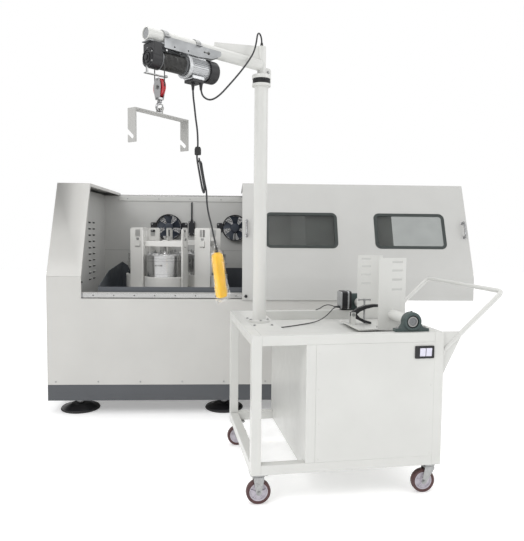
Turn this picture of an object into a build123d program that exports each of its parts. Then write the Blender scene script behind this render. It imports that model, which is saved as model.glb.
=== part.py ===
"""Planetary ball mill with a sliding hood, and the jar trolley with jib hoist that serves it.

Millimetres, +Z up, floor at Z 0. The mill is drawn from its front left corner: X to the right,
Y to the back. The trolley is drawn from its own front left corner and then set on the floor.
"""
import math
import os

from build123d import *

# Mill cabinet
MILL_LENGTH = 2600
MILL_DEPTH = 1500
MILL_HEIGHT = 1730
KNEE_HEIGHT = 1026
SLOPE_SETBACK = 300
PLINTH_BOTTOM = 102
PLINTH_HEIGHT = 120
PLINTH_RAIL = 60
PLINTH_WALL = 5
PANEL_TOP = 865
SHEET = 3
LEFT_END_WIDTH = 251
RIGHT_END_WIDTH = 679
RIGHT_END_INSET = 30
FOLD = 25
FRAME_TUBE = 40
SILL_TOP = 908
REAR_BEAM_DEPTH = 60
REAR_BEAM_BACK = 30
BACK_SEAM_HEIGHT = 1177
LINER_X = 110

# Feet
FOOT_RADIUS = 146
FOOT_INSET = 200
FOOT_MARGIN = 4
FOOT_PAD_HEIGHT = 46
FOOT_STUD_RADIUS = 16

# Hood and its guides
HOOD_WIDTH = 1745
HOOD_OPEN_X = 1432
HOOD_STANDOFF = 14
HOOD_BOTTOM = 861
HOOD_BACK = 1480
HOOD_FOLD = 10
WINDOW_WIDTH = 530
WINDOW_SIDE_MARGIN = 188
WINDOW_LOW = 1251
WINDOW_HIGH = 1500
WINDOW_RADIUS = 32
WINDOW_SEAL = 12
PANE_THICKNESS = 4
HANDLE_LOW = 1330
HANDLE_LENGTH = 118
HANDLE_MARGIN = 34
HANDLE_RADIUS = 8
HANDLE_REACH = 38
RAIL_WIDTH = 12
RAIL_HEIGHT = 30
REAR_RAIL_HEIGHT = 14
REAR_RAIL_WIDTH = 20
RAIL_SCREW_PITCH = 150
CARRIAGE_LENGTH = 80
CARRIAGE_POSITIONS = (30, 1060)
RUNNING_GAP = 0.3
SHAFT_GAP = 0.05

# Planetary drive
CARRIER_X = 878
CARRIER_Y = 700
CARRIER_RADIUS = 420
CARRIER_TOP = 870
CARRIER_THICKNESS = 20
PITCH_RADIUS = 280
FIRST_STATION_ANGLE = -13.5
STATION_COUNT = 4
CUP_RADIUS = 164
CUP_BOTTOM = 885
CUP_TOP = 1000
CUP_FLOOR = 12
JAR_RADIUS = 150
JAR_WALL = 10
JAR_HEIGHT = 253
LID_THICKNESS = 22
LID_PLUG = 14
LID_KNOB_RADIUS = 16
LID_KNOB_HEIGHT = 24
POST_WIDTH = 132
POST_THICKNESS = 7
POST_TOP = 1392
POST_WINDOW_WIDTH = 43
POST_WINDOWS = ((1229, 1284), (1316, 1375))
BEAM_LOW = 1239
BEAM_HEIGHT = 45
BEAM_DEPTH = 40
BEAM_OVERHANG = 8
LIFT_PIN_RADIUS = 8
LIFT_PIN_LENGTH = 12
LIFT_PIN_HEIGHT = 1300
CLAMP_SCREW_RADIUS = 12
CLAMP_SCREW_TOP = 1312
PLANET_SHAFT_RADIUS = 20
PLANET_PULLEY_RADIUS = 50
SUN_PULLEY_RADIUS = 150
BELT_LEVEL_PITCH = 12
BELT_WIDTH = 9
BELT_THICKNESS = 6
FIRST_BELT_Z = 797
MAIN_SHAFT_RADIUS = 35
MAIN_SHAFT_BOTTOM = 455
HOUSING_RADIUS = 100
HOUSING_TOP = 792
DRIVE_PLATE_BOTTOM = 620
DRIVE_PLATE_THICKNESS = 20
DRIVEN_PULLEY_RADIUS = 200
DRIVE_PULLEY_Z = (470, 540)
DRIVE_BELT_Z = (480, 530)
DRIVE_BELT_THICKNESS = 9
MOTOR_X = 1438
MOTOR_RADIUS = 115
MOTOR_TOP = 440
MOTOR_PLATE = 12
MOTOR_SHAFT_RADIUS = 19
MOTOR_PULLEY_RADIUS = 70
BEAM_PAIR_X = (578, 1178)
DRIVE_BEAM = 60

# Drip tub
TUB_FLOOR = 780
TUB_WALL = 4
TUB_RIM = ((361, 62, 947), (300, 700, 1022), (305, 1270, 1070), (370, 1330, 1016),
           (1490, 1330, 1012), (1555, 1270, 1070), (1560, 700, 1022), (1500, 62, 947))
TUB_HOLE_RADIUS = 125

# Fans on the back wall
FAN_X = (735, 1376)
FAN_Z = 1400
FAN_RADIUS = 126
FAN_RING = 8
FAN_DEPTH = 64
FAN_HUB_RADIUS = 44
FAN_BLADES = 5
FAN_SHAFT_RADIUS = 6
BACK_WALL_Y = 1407

# Louvres of the left liner
LOUVRE_COLUMNS = (790, 935)
LOUVRE_ROWS = 10
LOUVRE_FIRST_Z = 930
LOUVRE_PITCH = 55
LOUVRE_LENGTH = 85
LOUVRE_HEIGHT = 18

# Trolley
TROLLEY_X = 1464
TROLLEY_Y = -1491
TROLLEY_YAW = 7.35
TROLLEY_LENGTH = 1005
TROLLEY_DEPTH = 905
TROLLEY_TOP = 860
TROLLEY_BOTTOM = 160
TROLLEY_TUBE = 50
CABINET_X = 275
PANEL_SHEET = 2
TRAY_X = 194
TRAY_FLOOR = 803
TRAY_MOUTH = ((715, 945), (250, 715))
DECK_THICKNESS = 8
DECK_HOLE_RADIUS = 6
DECK_HOLE_REACH = (48, 130)
WHEEL_RADIUS = 62.5
WHEEL_WIDTH = 32
LEFT_WHEEL_X = 45
WHEEL_INSET_Y = 45
SWIVEL_INSET = 47
SWIVEL_TRAIL = 30
CASTER_PLATE = 90
AXLE_RADIUS = 6
HANDLE_TUBE = 12.5
PUSH_HANDLE_REACH = 335
PUSH_HANDLE_Z = 1065
PUSH_HANDLE_FOOT_Z = 752
SWITCH_X = (847, 949)
SWITCH_Z = (727, 790)
ROCKER_WIDTH = 30
ROCKER_HEIGHT = 42
ROCKER_GAP = 1.5
ROCKER_X = (872, 906)
ROCKER_PIN_RADIUS = 1.5
ROCKER_PIN_REACH = 0.3

# Column, jib and hoist
COLUMN_X = 111
COLUMN_Y = 445
COLUMN_RADIUS = 37.5
COLUMN_WALL = 5
COLUMN_TOP = 2166
COLUMN_FLANGE_RADIUS = 58
COLUMN_FLANGE = 12
COLLAR_RADIUS = 52
COLLAR_BAND = (2176, 2203)
COLLAR_TOP = 2223
MAST_RADIUS = 24
MAST_TOP = 2377
PIVOT_RADIUS = 18
PIVOT_DEPTH = 90
JIB_YAW = 213.9
ARM_RADIUS = 30
ARM_WALL = 4
ARM_Z = 2275
ARM_END = 740
GUSSET_START = 333
GUSSET_THICKNESS = 4
HOIST_AXIS_Z = 2168
HOIST_MOTOR_RADIUS = 50
DRUM_RADIUS = 38
DRUM_SPAN = (528, 674)
DRUM_FLANGE = 9
DRUM_SHAFT_RADIUS = 8
GEARBOX_RADIUS = 46
GEARBOX_END = 742
ROPE_RADIUS = 2.5
HOOK_S = 664
SHEAVE_Z = 2042
SHEAVE_WIDTH = 16
HOOK_EYE_Z = 1950
HOOK_RING = 17
HOOK_WIRE = 6.5
BAIL_TURN = 12.4
BAIL_INNER = 346
BAIL_PLATE = 6
BAIL_WIDTH = 50
BAIL_TOP = 1918
BAIL_DROP = 152

# Cords of the hoist and of the tilt drive, as points along the jib or on the trolley
CORD_RADIUS = 4.5
LEAD_RADIUS = 3
POWER_CORD_POINTS = ((440, 28, 2086), (440, 28, 2060), (428, 31, 2032), (388, 36, 2020), (336, 42, 2050),
                     (270, 46, 2118), (202, 48, 2190), (140, 47, 2262), (100, 46, 2318), (74, 36, 2376),
                     (64.7, 31.5, 2409.7), (56.1, 27.3, 2426.4), (41.1, 20, 2436), (23.6, 11.5, 2436),
                     (8.6, 4.2, 2426.4), (0, 0, 2409.7), (0, 0, 2377))
PENDANT_CORD_POINTS = ((468, 0, 2086), (468, 0, 2044), (459, 0, 1990), (451, 0, 1930), (440, 0, 1872),
                       (437, 0, 1822), (437, 0, 1790))
HANK_TOP = (437, 0, 1752)
HANK_BOTTOM = (389, 0, 1548)
HANK_RADIUS = 17
SLEEVE_RADIUS = 16
PENDANT_TOP = (312, 0, 1262)
PENDANT_BOTTOM = (275, 0, 1016)
TAIL_MIDDLE = ((366, 0, 1452), (346, 0, 1394), (331, 0, 1338))
PENDANT_WIDTH = 56
PENDANT_DEPTH = 46

# Pouring cradle and its drive
TILT_X = 842
TILT_Z = 912
CRADLE_Y = 480
CRADLE_RADIUS = 190
CRADLE_SHEET = 4
CRADLE_WIDTH = 160
CRADLE_LOW = 822
CRADLE_TOP = 1229
CRADLE_SLOT_Z = (1047, 1102, 1153, 1200)
CRADLE_SLOT = 64
STUB_TUBE_RADIUS = 29
STUB_SHAFT_RADIUS = 20
PILLOW_Y = (46, 868)
PILLOW_LENGTH = 184
PILLOW_WIDTH = 52
PILLOW_RADIUS = 49
TILT_MOTOR_X = (718, 786)
TILT_GEARBOX_X = (786, 900)
TILT_MOTOR_Z = 928
TILT_MOTOR_RADIUS = 56
LEAD_1_POINTS = ((706, 866, 880), (686, 866, 880), (664, 848, 870), (634, 812, 852), (592, 764, 834),
                 (544, 724, 818), (492, 690, 810), (436, 654, 808.4), (378, 616, 808.2), (322, 578, 808.2),
                 (272, 550, 808.2), (240, 541, 808.2))
LEAD_2_POINTS = ((706, 890, 880), (688, 890, 880), (664, 887, 891), (634, 884, 894), (606, 881, 884),
                 (584, 879, 868), (560, 878, 863.2))
CLAMP_PIVOT = (672, 889)
CLAMP_Y = 480
CLAMP_WIDTH = 30
CLAMP_OUTLINE = (
    (664, 878), (662, 896), (700, 924), (745, 940), (800, 947), (834, 945), (834, 931), (800, 931), (752, 921),
    (714, 905), (696, 889), (714, 870), (750, 853), (786, 842), (784, 832), (742, 838), (700, 858),
)
CLAMP_SCREW_X = 745
CLAMP_BAR_Z = 974
CLAMP_SCREW_BOTTOM = 834
THREAD_RADIUS = 6

PLINTH_TOP = PLINTH_BOTTOM + PLINTH_HEIGHT
RIGHT_END_X = MILL_LENGTH - RIGHT_END_WIDTH
REAR_BEAM_Y = MILL_DEPTH - REAR_BEAM_BACK - REAR_BEAM_DEPTH
REAR_BEAM_TOP = MILL_HEIGHT - RIGHT_END_INSET
SLOPE_ANGLE = math.degrees(math.atan2(SLOPE_SETBACK, MILL_HEIGHT - KNEE_HEIGHT))
JAR_BOTTOM = CUP_BOTTOM + CUP_FLOOR
JAR_TOP = JAR_BOTTOM + JAR_HEIGHT
LID_TOP = JAR_TOP + RUNNING_GAP + LID_THICKNESS
HALF_SPAN = CUP_RADIUS + POST_THICKNESS
CARRIER_BOTTOM = CARRIER_TOP - CARRIER_THICKNESS

nodes = {}


def block(x, y, z):
    """Box between pairs of X, Y and Z limits."""
    size = (x[1] - x[0], y[1] - y[0], z[1] - z[0])
    centre = ((x[0] + x[1]) / 2, (y[0] + y[1]) / 2, (z[0] + z[1]) / 2)
    return Pos(*centre) * Box(*size)


def rod(start, direction, radius, length):
    """Round bar from a start point along a direction."""
    plane = Plane(origin=start, z_dir=direction)
    return extrude(plane * Circle(radius), amount=length)


def upright(x, y, radius, low, high):
    """Vertical round bar."""
    return rod((x, y, low), (0, 0, 1), radius, high - low)


def prism(points, axis, start, end):
    """Extrude a closed outline given in the two axes other than the named one."""
    places = {
        "X": lambda a, b: (start, a, b),
        "Y": lambda a, b: (a, start, b),
        "Z": lambda a, b: (a, b, start),
    }
    directions = {"X": (1, 0, 0), "Y": (0, 1, 0), "Z": (0, 0, 1)}
    corners = [places[axis](a, b) for a, b in points]
    face = Face(Wire.make_polygon(corners, close=True))
    return extrude(face, amount=end - start, dir=directions[axis])


def offset_outline(points, distance):
    """Move an open (y, z) outline sideways, inwards when the distance is positive."""
    normals = []
    for (y0, z0), (y1, z1) in zip(points, points[1:]):
        length = math.hypot(y1 - y0, z1 - z0)
        normals.append(((z1 - z0) / length, -(y1 - y0) / length))
    moved = []
    for index, (y, z) in enumerate(points):
        before = normals[max(index - 1, 0)]
        after = normals[min(index, len(normals) - 1)]
        sum_y = before[0] + after[0]
        sum_z = before[1] + after[1]
        scale = 2 * distance / (sum_y * sum_y + sum_z * sum_z)
        moved.append((y + sum_y * scale, z + sum_z * scale))
    return moved


def cabinet_outline(low, back):
    """Front, slope and roof of the cabinet, as (y, z) points."""
    return [(0, low), (0, KNEE_HEIGHT), (SLOPE_SETBACK, MILL_HEIGHT), (back, MILL_HEIGHT)]


def band(outline, thickness, x, first=0):
    """Sheet of one thickness that follows an outline, inwards, between two X limits."""
    inner = offset_outline(outline, thickness)
    return prism(outline[first:] + inner[first:][::-1], "X", *x)


def belt(centre_1, radius_1, centre_2, radius_2, z, thickness):
    """Open belt round two pulleys."""
    def loop(grow):
        u = Vector(centre_2[0] - centre_1[0], centre_2[1] - centre_1[1], 0)
        span = u.length
        u = u.normalized()
        n = Vector(-u.Y, u.X, 0)
        sine = (radius_1 - radius_2) / span
        cosine = math.sqrt(1 - sine * sine)
        corners = []
        for centre, radius, side in ((centre_1, radius_1, 1), (centre_2, radius_2, 1),
                                     (centre_2, radius_2, -1), (centre_1, radius_1, -1)):
            point = Vector(*centre, 0) + (u * sine + n * (cosine * side)) * (radius + grow)
            corners.append((point.X, point.Y))
        body = prism(corners, "Z", *z)
        body += upright(*centre_1, radius_1 + grow, *z)
        body += upright(*centre_2, radius_2 + grow, *z)
        return body
    return loop(RUNNING_GAP + thickness) - loop(RUNNING_GAP)


def cord_tube(points, radius):
    """Tube of straight runs joined by arcs as large as the runs allow."""
    vectors = [Vector(*p) for p in points]
    radii = []
    for a, b, c in zip(vectors, vectors[1:], vectors[2:]):
        turn = math.radians((b - a).get_angle(c - b))
        radii.append(0.45 * min((b - a).length, (c - b).length) / math.tan(turn / 2))
    path = FilletPolyline(*points, radius=radii)
    section = Plane(origin=path @ 0, z_dir=path % 0) * Circle(radius)
    tube = sweep(section, path=path)
    ratio = tube.volume / (math.pi * radius * radius * path.length)
    print("cord length", round(path.length, 1), "least radius", round(min(radii), 1))
    print("volume ratio", round(ratio, 4))
    return tube


def add(name, *shapes, place=None):
    """Keep the solids of one node, moved to their place."""
    solids = []
    for shape in shapes:
        moved = place * shape if place else shape
        solids.extend(moved.solids())
    nodes[name] = solids


def foot_positions():
    """X and Y places of the machine feet."""
    rows = (FOOT_RADIUS + FOOT_MARGIN, MILL_DEPTH - FOOT_RADIUS - FOOT_MARGIN)
    return (FOOT_INSET, MILL_LENGTH / 2, MILL_LENGTH - FOOT_INSET), rows


def build_plinth():
    """Dark base frame and the six machine feet."""
    z = (PLINTH_BOTTOM, PLINTH_TOP)
    wall = PLINTH_WALL
    rail = PLINTH_RAIL
    inner = rail - wall
    shade = (z[0], z[1] - wall)
    roof = (z[1] - wall, z[1])
    between = (rail, MILL_DEPTH - rail)
    sheets = []
    for y in ((0, rail), (MILL_DEPTH - rail, MILL_DEPTH)):
        sheets.append(block((0, MILL_LENGTH), y, roof))
    for y in ((0, wall), (MILL_DEPTH - wall, MILL_DEPTH)):
        sheets.append(block((0, MILL_LENGTH), y, shade))
    for y in ((inner, rail), (MILL_DEPTH - rail, MILL_DEPTH - inner)):
        sheets.append(block((inner, MILL_LENGTH - inner), y, shade))
    for x in ((0, rail), (MILL_LENGTH - rail, MILL_LENGTH)):
        sheets.append(block(x, between, roof))
    for x in ((0, wall), (MILL_LENGTH - wall, MILL_LENGTH)):
        sheets.append(block(x, (wall, MILL_DEPTH - wall), shade))
    for x in ((inner, rail), (MILL_LENGTH - rail, MILL_LENGTH - inner)):
        sheets.append(block(x, between, shade))
    for x in (MOTOR_X - 130, MOTOR_X + 70):
        sheets.append(block((x, x + rail), between, roof))
        sheets.append(block((x, x + wall), between, shade))
        sheets.append(block((x + inner, x + rail), between, shade))
    plates = []
    for x in foot_positions()[0]:
        for y in foot_positions()[1]:
            plate_y = (wall, y + 30) if y < MILL_DEPTH / 2 else (y - 30, MILL_DEPTH - wall)
            plates.append(block((x - 50, x + 50), plate_y, (z[0], z[0] + 12)))
    for plate in plates:
        sheets = [sheet - plate for sheet in sheets]
    add("plinth_frame", *sheets, *plates)
    feet = []
    for x in foot_positions()[0]:
        for y in foot_positions()[1]:
            pad = upright(x, y, FOOT_RADIUS, 0, 14)
            rise = FOOT_PAD_HEIGHT - 14
            pad += Pos(x, y, 14 + rise / 2) * Cone(FOOT_RADIUS - 4, 62, rise)
            feet.append(pad)
            stud = upright(x, y, FOOT_STUD_RADIUS, FOOT_PAD_HEIGHT, PLINTH_BOTTOM)
            feet.append(stud + upright(x, y, 26, FOOT_PAD_HEIGHT + 8, FOOT_PAD_HEIGHT + 24))
    add("levelling_feet", *feet)


def build_body_frame():
    """Welded tubes that carry the panels, the guides, the tub and the drive."""
    front = (20, 20 + FRAME_TUBE)
    rear = (REAR_BEAM_Y, REAR_BEAM_Y + REAR_BEAM_DEPTH)
    ends = (SHEET, MILL_LENGTH - SHEET - FRAME_TUBE)
    tubes = [block((LEFT_END_WIDTH, MILL_LENGTH - SHEET), front, (PANEL_TOP + SHEET, SILL_TOP)),
             block((SHEET, MILL_LENGTH - SHEET), rear, (REAR_BEAM_TOP - FRAME_TUBE, REAR_BEAM_TOP))]
    for x in (*ends, LEFT_END_WIDTH):
        tubes.append(block((x, x + FRAME_TUBE), front, (PLINTH_TOP, PANEL_TOP + SHEET)))
    for x in ends:
        tubes.append(block((x, x + FRAME_TUBE), (REAR_BEAM_Y, MILL_DEPTH - SHEET),
                           (PLINTH_TOP, REAR_BEAM_TOP - FRAME_TUBE)))
    beam_low = DRIVE_PLATE_BOTTOM - DRIVE_BEAM
    for x in BEAM_PAIR_X:
        span = (x - DRIVE_BEAM / 2, x + DRIVE_BEAM / 2)
        tubes.append(block(span, (SHEET, MILL_DEPTH - SHEET), (beam_low, DRIVE_PLATE_BOTTOM)))
        for y in (SHEET, MILL_DEPTH - SHEET - DRIVE_BEAM + 4):
            tubes.append(block(span, (y, y + DRIVE_BEAM - 4), (PLINTH_TOP, beam_low)))
        for y in (150, 1180):
            tubes.append(block(span, (y, y + DRIVE_BEAM), (DRIVE_PLATE_BOTTOM, TUB_FLOOR)))
    add("body_frame", *tubes)


def build_panels():
    """Front panel, end covers and rear panel."""
    outline = cabinet_outline(PANEL_TOP, MILL_DEPTH)
    panel = block((SHEET, MILL_LENGTH - SHEET), (0, SHEET), (PLINTH_TOP, PANEL_TOP))
    panel += block((SHEET, LEFT_END_WIDTH), (0, SHEET), (PANEL_TOP, KNEE_HEIGHT - 1))
    panel += block((SHEET, MILL_LENGTH - SHEET), (SHEET, 19), (PANEL_TOP - SHEET, PANEL_TOP))
    panel += block((LEFT_END_WIDTH - SHEET, LEFT_END_WIDTH), (SHEET, 19), (PANEL_TOP, KNEE_HEIGHT - 8))
    add("front_panel", panel)

    left_side = prism([(0, PLINTH_TOP), *outline[1:], (MILL_DEPTH, PLINTH_TOP)], "X", 0, SHEET)
    left_roof = band(outline, SHEET, (SHEET, LEFT_END_WIDTH), first=1)
    left_roof += band(outline, FOLD, (LEFT_END_WIDTH - SHEET, LEFT_END_WIDTH), first=1)
    inset = offset_outline(outline, RIGHT_END_INSET)
    inset = [(RIGHT_END_INSET, SILL_TOP), inset[1], inset[2], (REAR_BEAM_Y, inset[3][1])]
    right_cover = band(inset, SHEET, (RIGHT_END_X, MILL_LENGTH - SHEET))
    right_points = [(0, PLINTH_TOP), (0, PANEL_TOP), (RIGHT_END_INSET, PANEL_TOP), inset[1], inset[2],
                    (MILL_DEPTH, REAR_BEAM_TOP), (MILL_DEPTH, PLINTH_TOP)]
    right_side = prism(right_points, "X", MILL_LENGTH - SHEET, MILL_LENGTH)
    rear_y = (MILL_DEPTH - SHEET, MILL_DEPTH)
    rear = block((SHEET, MILL_LENGTH - SHEET), rear_y, (PLINTH_TOP, REAR_BEAM_TOP))
    rear += block((SHEET, LEFT_END_WIDTH), rear_y, (REAR_BEAM_TOP, MILL_HEIGHT - SHEET))
    for x in FAN_X:
        rear -= rod((x, REAR_BEAM_Y, FAN_Z), (0, 1, 0), FAN_RADIUS - FAN_RING, MILL_DEPTH)
    add("end_and_rear_panels", left_side, left_roof, right_cover, right_side, rear)


def build_liners():
    """Inner walls of the grinding chamber."""
    outline = cabinet_outline(PANEL_TOP, MILL_DEPTH)
    inner = offset_outline(outline, FOLD + 1)
    left_outline = [*inner[1:], (MILL_DEPTH, TUB_FLOOR), (inner[1][0], TUB_FLOOR)]
    left = prism(left_outline, "X", LINER_X, LINER_X + SHEET)
    left = left & block((0, MILL_LENGTH), (62, BACK_WALL_Y), (SILL_TOP - 100, MILL_HEIGHT))
    for y in LOUVRE_COLUMNS:
        for row in range(LOUVRE_ROWS):
            z = LOUVRE_FIRST_Z + row * LOUVRE_PITCH
            left -= block((LINER_X - 5, LINER_X + 8), (y, y + LOUVRE_LENGTH), (z, z + LOUVRE_HEIGHT))
    right_outline = offset_outline(outline, RIGHT_END_INSET + SHEET)
    roof_z = right_outline[3][1]
    corners = [right_outline[1], right_outline[2], (BACK_WALL_Y, roof_z), (BACK_WALL_Y, SILL_TOP),
               (right_outline[1][0], SILL_TOP)]
    right = prism(corners, "X", RIGHT_END_X, RIGHT_END_X + SHEET)
    back_y = (BACK_WALL_Y, REAR_BEAM_Y)
    back_x = (LINER_X, MILL_LENGTH - SHEET)
    lower = block(back_x, back_y, (SILL_TOP - 100, BACK_SEAM_HEIGHT - 1))
    upper = block(back_x, back_y, (BACK_SEAM_HEIGHT + 1, REAR_BEAM_TOP - SHEET))
    for x in FAN_X:
        upper -= rod((x, BACK_WALL_Y - 5, FAN_Z), (0, 1, 0), FAN_RADIUS - FAN_RING, 20)
    add("chamber_liners", left, right, lower, upper)


def build_guides():
    """Linear guides of the hood with their end stops."""
    start = LEFT_END_WIDTH + 11
    end = MILL_LENGTH - SHEET - 7
    low = (PANEL_TOP + SHEET + SILL_TOP - RAIL_HEIGHT) / 2
    front = block((start, end), (20 - RAIL_WIDTH, 20), (low, low + RAIL_HEIGHT))
    middle = REAR_BEAM_Y + REAR_BEAM_DEPTH / 2
    rear_z = (REAR_BEAM_TOP, REAR_BEAM_TOP + REAR_RAIL_HEIGHT)
    rear = block((start, end), (middle - REAR_RAIL_WIDTH / 2, middle + REAR_RAIL_WIDTH / 2), rear_z)
    x = start + RAIL_SCREW_PITCH / 2
    while x < end:
        front -= rod((x, 20 - RAIL_WIDTH, low + RAIL_HEIGHT / 2), (0, 1, 0), 5, 4)
        rear -= upright(x, middle, 4, rear_z[1] - 4, rear_z[1])
        x += RAIL_SCREW_PITCH
    stops = []
    for stop in ((LEFT_END_WIDTH, start - 0.5), (end, end + 7)):
        stops.append(block(stop, (4, 20), (low, low + RAIL_HEIGHT)))
        stops.append(block(stop, (middle - 10, middle + 10), rear_z))
    stops.append(rod((LEFT_END_WIDTH, 12, 985), (1, 0, 0), 7, 9))
    add("guide_rails", front, rear, *stops)
    return low, middle


def build_hood(rail_low, rail_middle):
    """Sliding hood with two windows, handles and guide carriages, drawn at its open place."""
    x0 = HOOD_OPEN_X
    x1 = x0 + HOOD_WIDTH
    outline = offset_outline(cabinet_outline(HOOD_BOTTOM, HOOD_BACK), -HOOD_STANDOFF)
    outline[0] = (outline[0][0], HOOD_BOTTOM)
    sheets = []
    slope = None
    for span, thickness in (((x0, x0 + SHEET), HOOD_FOLD), ((x0 + SHEET, x1 - SHEET), SHEET),
                            ((x1 - SHEET, x1), HOOD_FOLD)):
        inner = offset_outline(outline, thickness)
        for index in range(len(outline) - 1):
            corners = (outline[index], outline[index + 1], inner[index + 1], inner[index])
            sheet = prism(corners, "X", *span)
            if index == 1 and thickness == SHEET:
                slope = sheet
            else:
                sheets.append(sheet)
    centre_z = (WINDOW_LOW + WINDOW_HIGH) / 2
    slope_height = (WINDOW_HIGH - WINDOW_LOW) / math.cos(math.radians(SLOPE_ANGLE))
    y_at = (centre_z - KNEE_HEIGHT) * SLOPE_SETBACK / (MILL_HEIGHT - KNEE_HEIGHT)
    windows = []
    edges = [x0 + SHEET]
    for x in (x0 + WINDOW_SIDE_MARGIN + WINDOW_WIDTH / 2, x1 - WINDOW_SIDE_MARGIN - WINDOW_WIDTH / 2):
        edges += [x - WINDOW_WIDTH / 2, x + WINDOW_WIDTH / 2]
        plane = Plane(origin=(x, y_at, centre_z), x_dir=(1, 0, 0),
                      z_dir=(0, -math.cos(math.radians(SLOPE_ANGLE)), math.sin(math.radians(SLOPE_ANGLE))))

        def slab(grow, low, high):
            window = (WINDOW_WIDTH + 2 * grow, slope_height + 2 * grow)
            outline_2d = RectangleRounded(*window, WINDOW_RADIUS + grow)
            return extrude(plane.offset(low) * outline_2d, amount=high - low)

        front = HOOD_STANDOFF
        slope -= slab(0, front - 20, front + 5)
        seal = slab(WINDOW_SEAL, front, front + 3) + slab(0, front - 5, front)
        seal -= slab(-WINDOW_SEAL, front - 8, front + 5)
        windows += [seal, slab(-2, front - 5 - PANE_THICKNESS, front - 5)]
    edges.append(x1 - SHEET)
    full = (HOOD_BOTTOM, MILL_HEIGHT + 2 * HOOD_STANDOFF)
    for index, span in enumerate(zip(edges, edges[1:])):
        parts = (full,) if index % 2 == 0 else ((full[0], centre_z), (centre_z, full[1]))
        for part in parts:
            sheets.append(slope & block(span, (-2 * HOOD_STANDOFF, HOOD_BACK), part))
    add("hood_shell", *sheets)
    add("hood_windows", *windows)

    fittings = []
    normal = Vector(0, -math.cos(math.radians(SLOPE_ANGLE)), math.sin(math.radians(SLOPE_ANGLE)))
    along = Vector(0, math.sin(math.radians(SLOPE_ANGLE)), math.cos(math.radians(SLOPE_ANGLE)))
    for x in (x0 + HANDLE_MARGIN, x1 - HANDLE_MARGIN):
        foot_y = (HANDLE_LOW - KNEE_HEIGHT) * SLOPE_SETBACK / (MILL_HEIGHT - KNEE_HEIGHT)
        foot = Vector(x, foot_y, HANDLE_LOW) + normal * HOOD_STANDOFF
        grip = rod(foot + normal * HANDLE_REACH - along * HANDLE_RADIUS, along, HANDLE_RADIUS,
                   HANDLE_LENGTH + 2 * HANDLE_RADIUS)
        for step in (0, HANDLE_LENGTH):
            grip += rod(foot + along * step, normal, HANDLE_RADIUS - 1, HANDLE_REACH)
        fittings.append(grip)
    skirt = -HOOD_STANDOFF + SHEET
    beam_face = 20 - RUNNING_GAP
    rail_face = 20 - RAIL_WIDTH - RUNNING_GAP
    roof = MILL_HEIGHT + HOOD_STANDOFF - SHEET
    rail_top = REAR_BEAM_TOP + REAR_RAIL_HEIGHT
    for start in CARRIAGE_POSITIONS:
        span = (x0 + start, x0 + start + CARRIAGE_LENGTH)
        front_block = block(span, (skirt, beam_face), (rail_low - 4, rail_low + RAIL_HEIGHT + 5))
        front_block -= block(span, (rail_face, beam_face),
                             (rail_low - RUNNING_GAP, rail_low + RAIL_HEIGHT + RUNNING_GAP))
        half = REAR_RAIL_WIDTH / 2
        rear_y = (rail_middle - half - 15, rail_middle + half + 15)
        rear_block = block(span, rear_y, (REAR_BEAM_TOP + RUNNING_GAP, roof))
        rear_block -= block(span, (rail_middle - half - RUNNING_GAP, rail_middle + half + RUNNING_GAP),
                            (REAR_BEAM_TOP, rail_top + RUNNING_GAP))
        fittings += [front_block, rear_block]
    fittings.append(rod((x0 + 28, -HOOD_STANDOFF, 889), (0, -1, 0), 12, 16))
    add("hood_fittings", *fittings)


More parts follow.
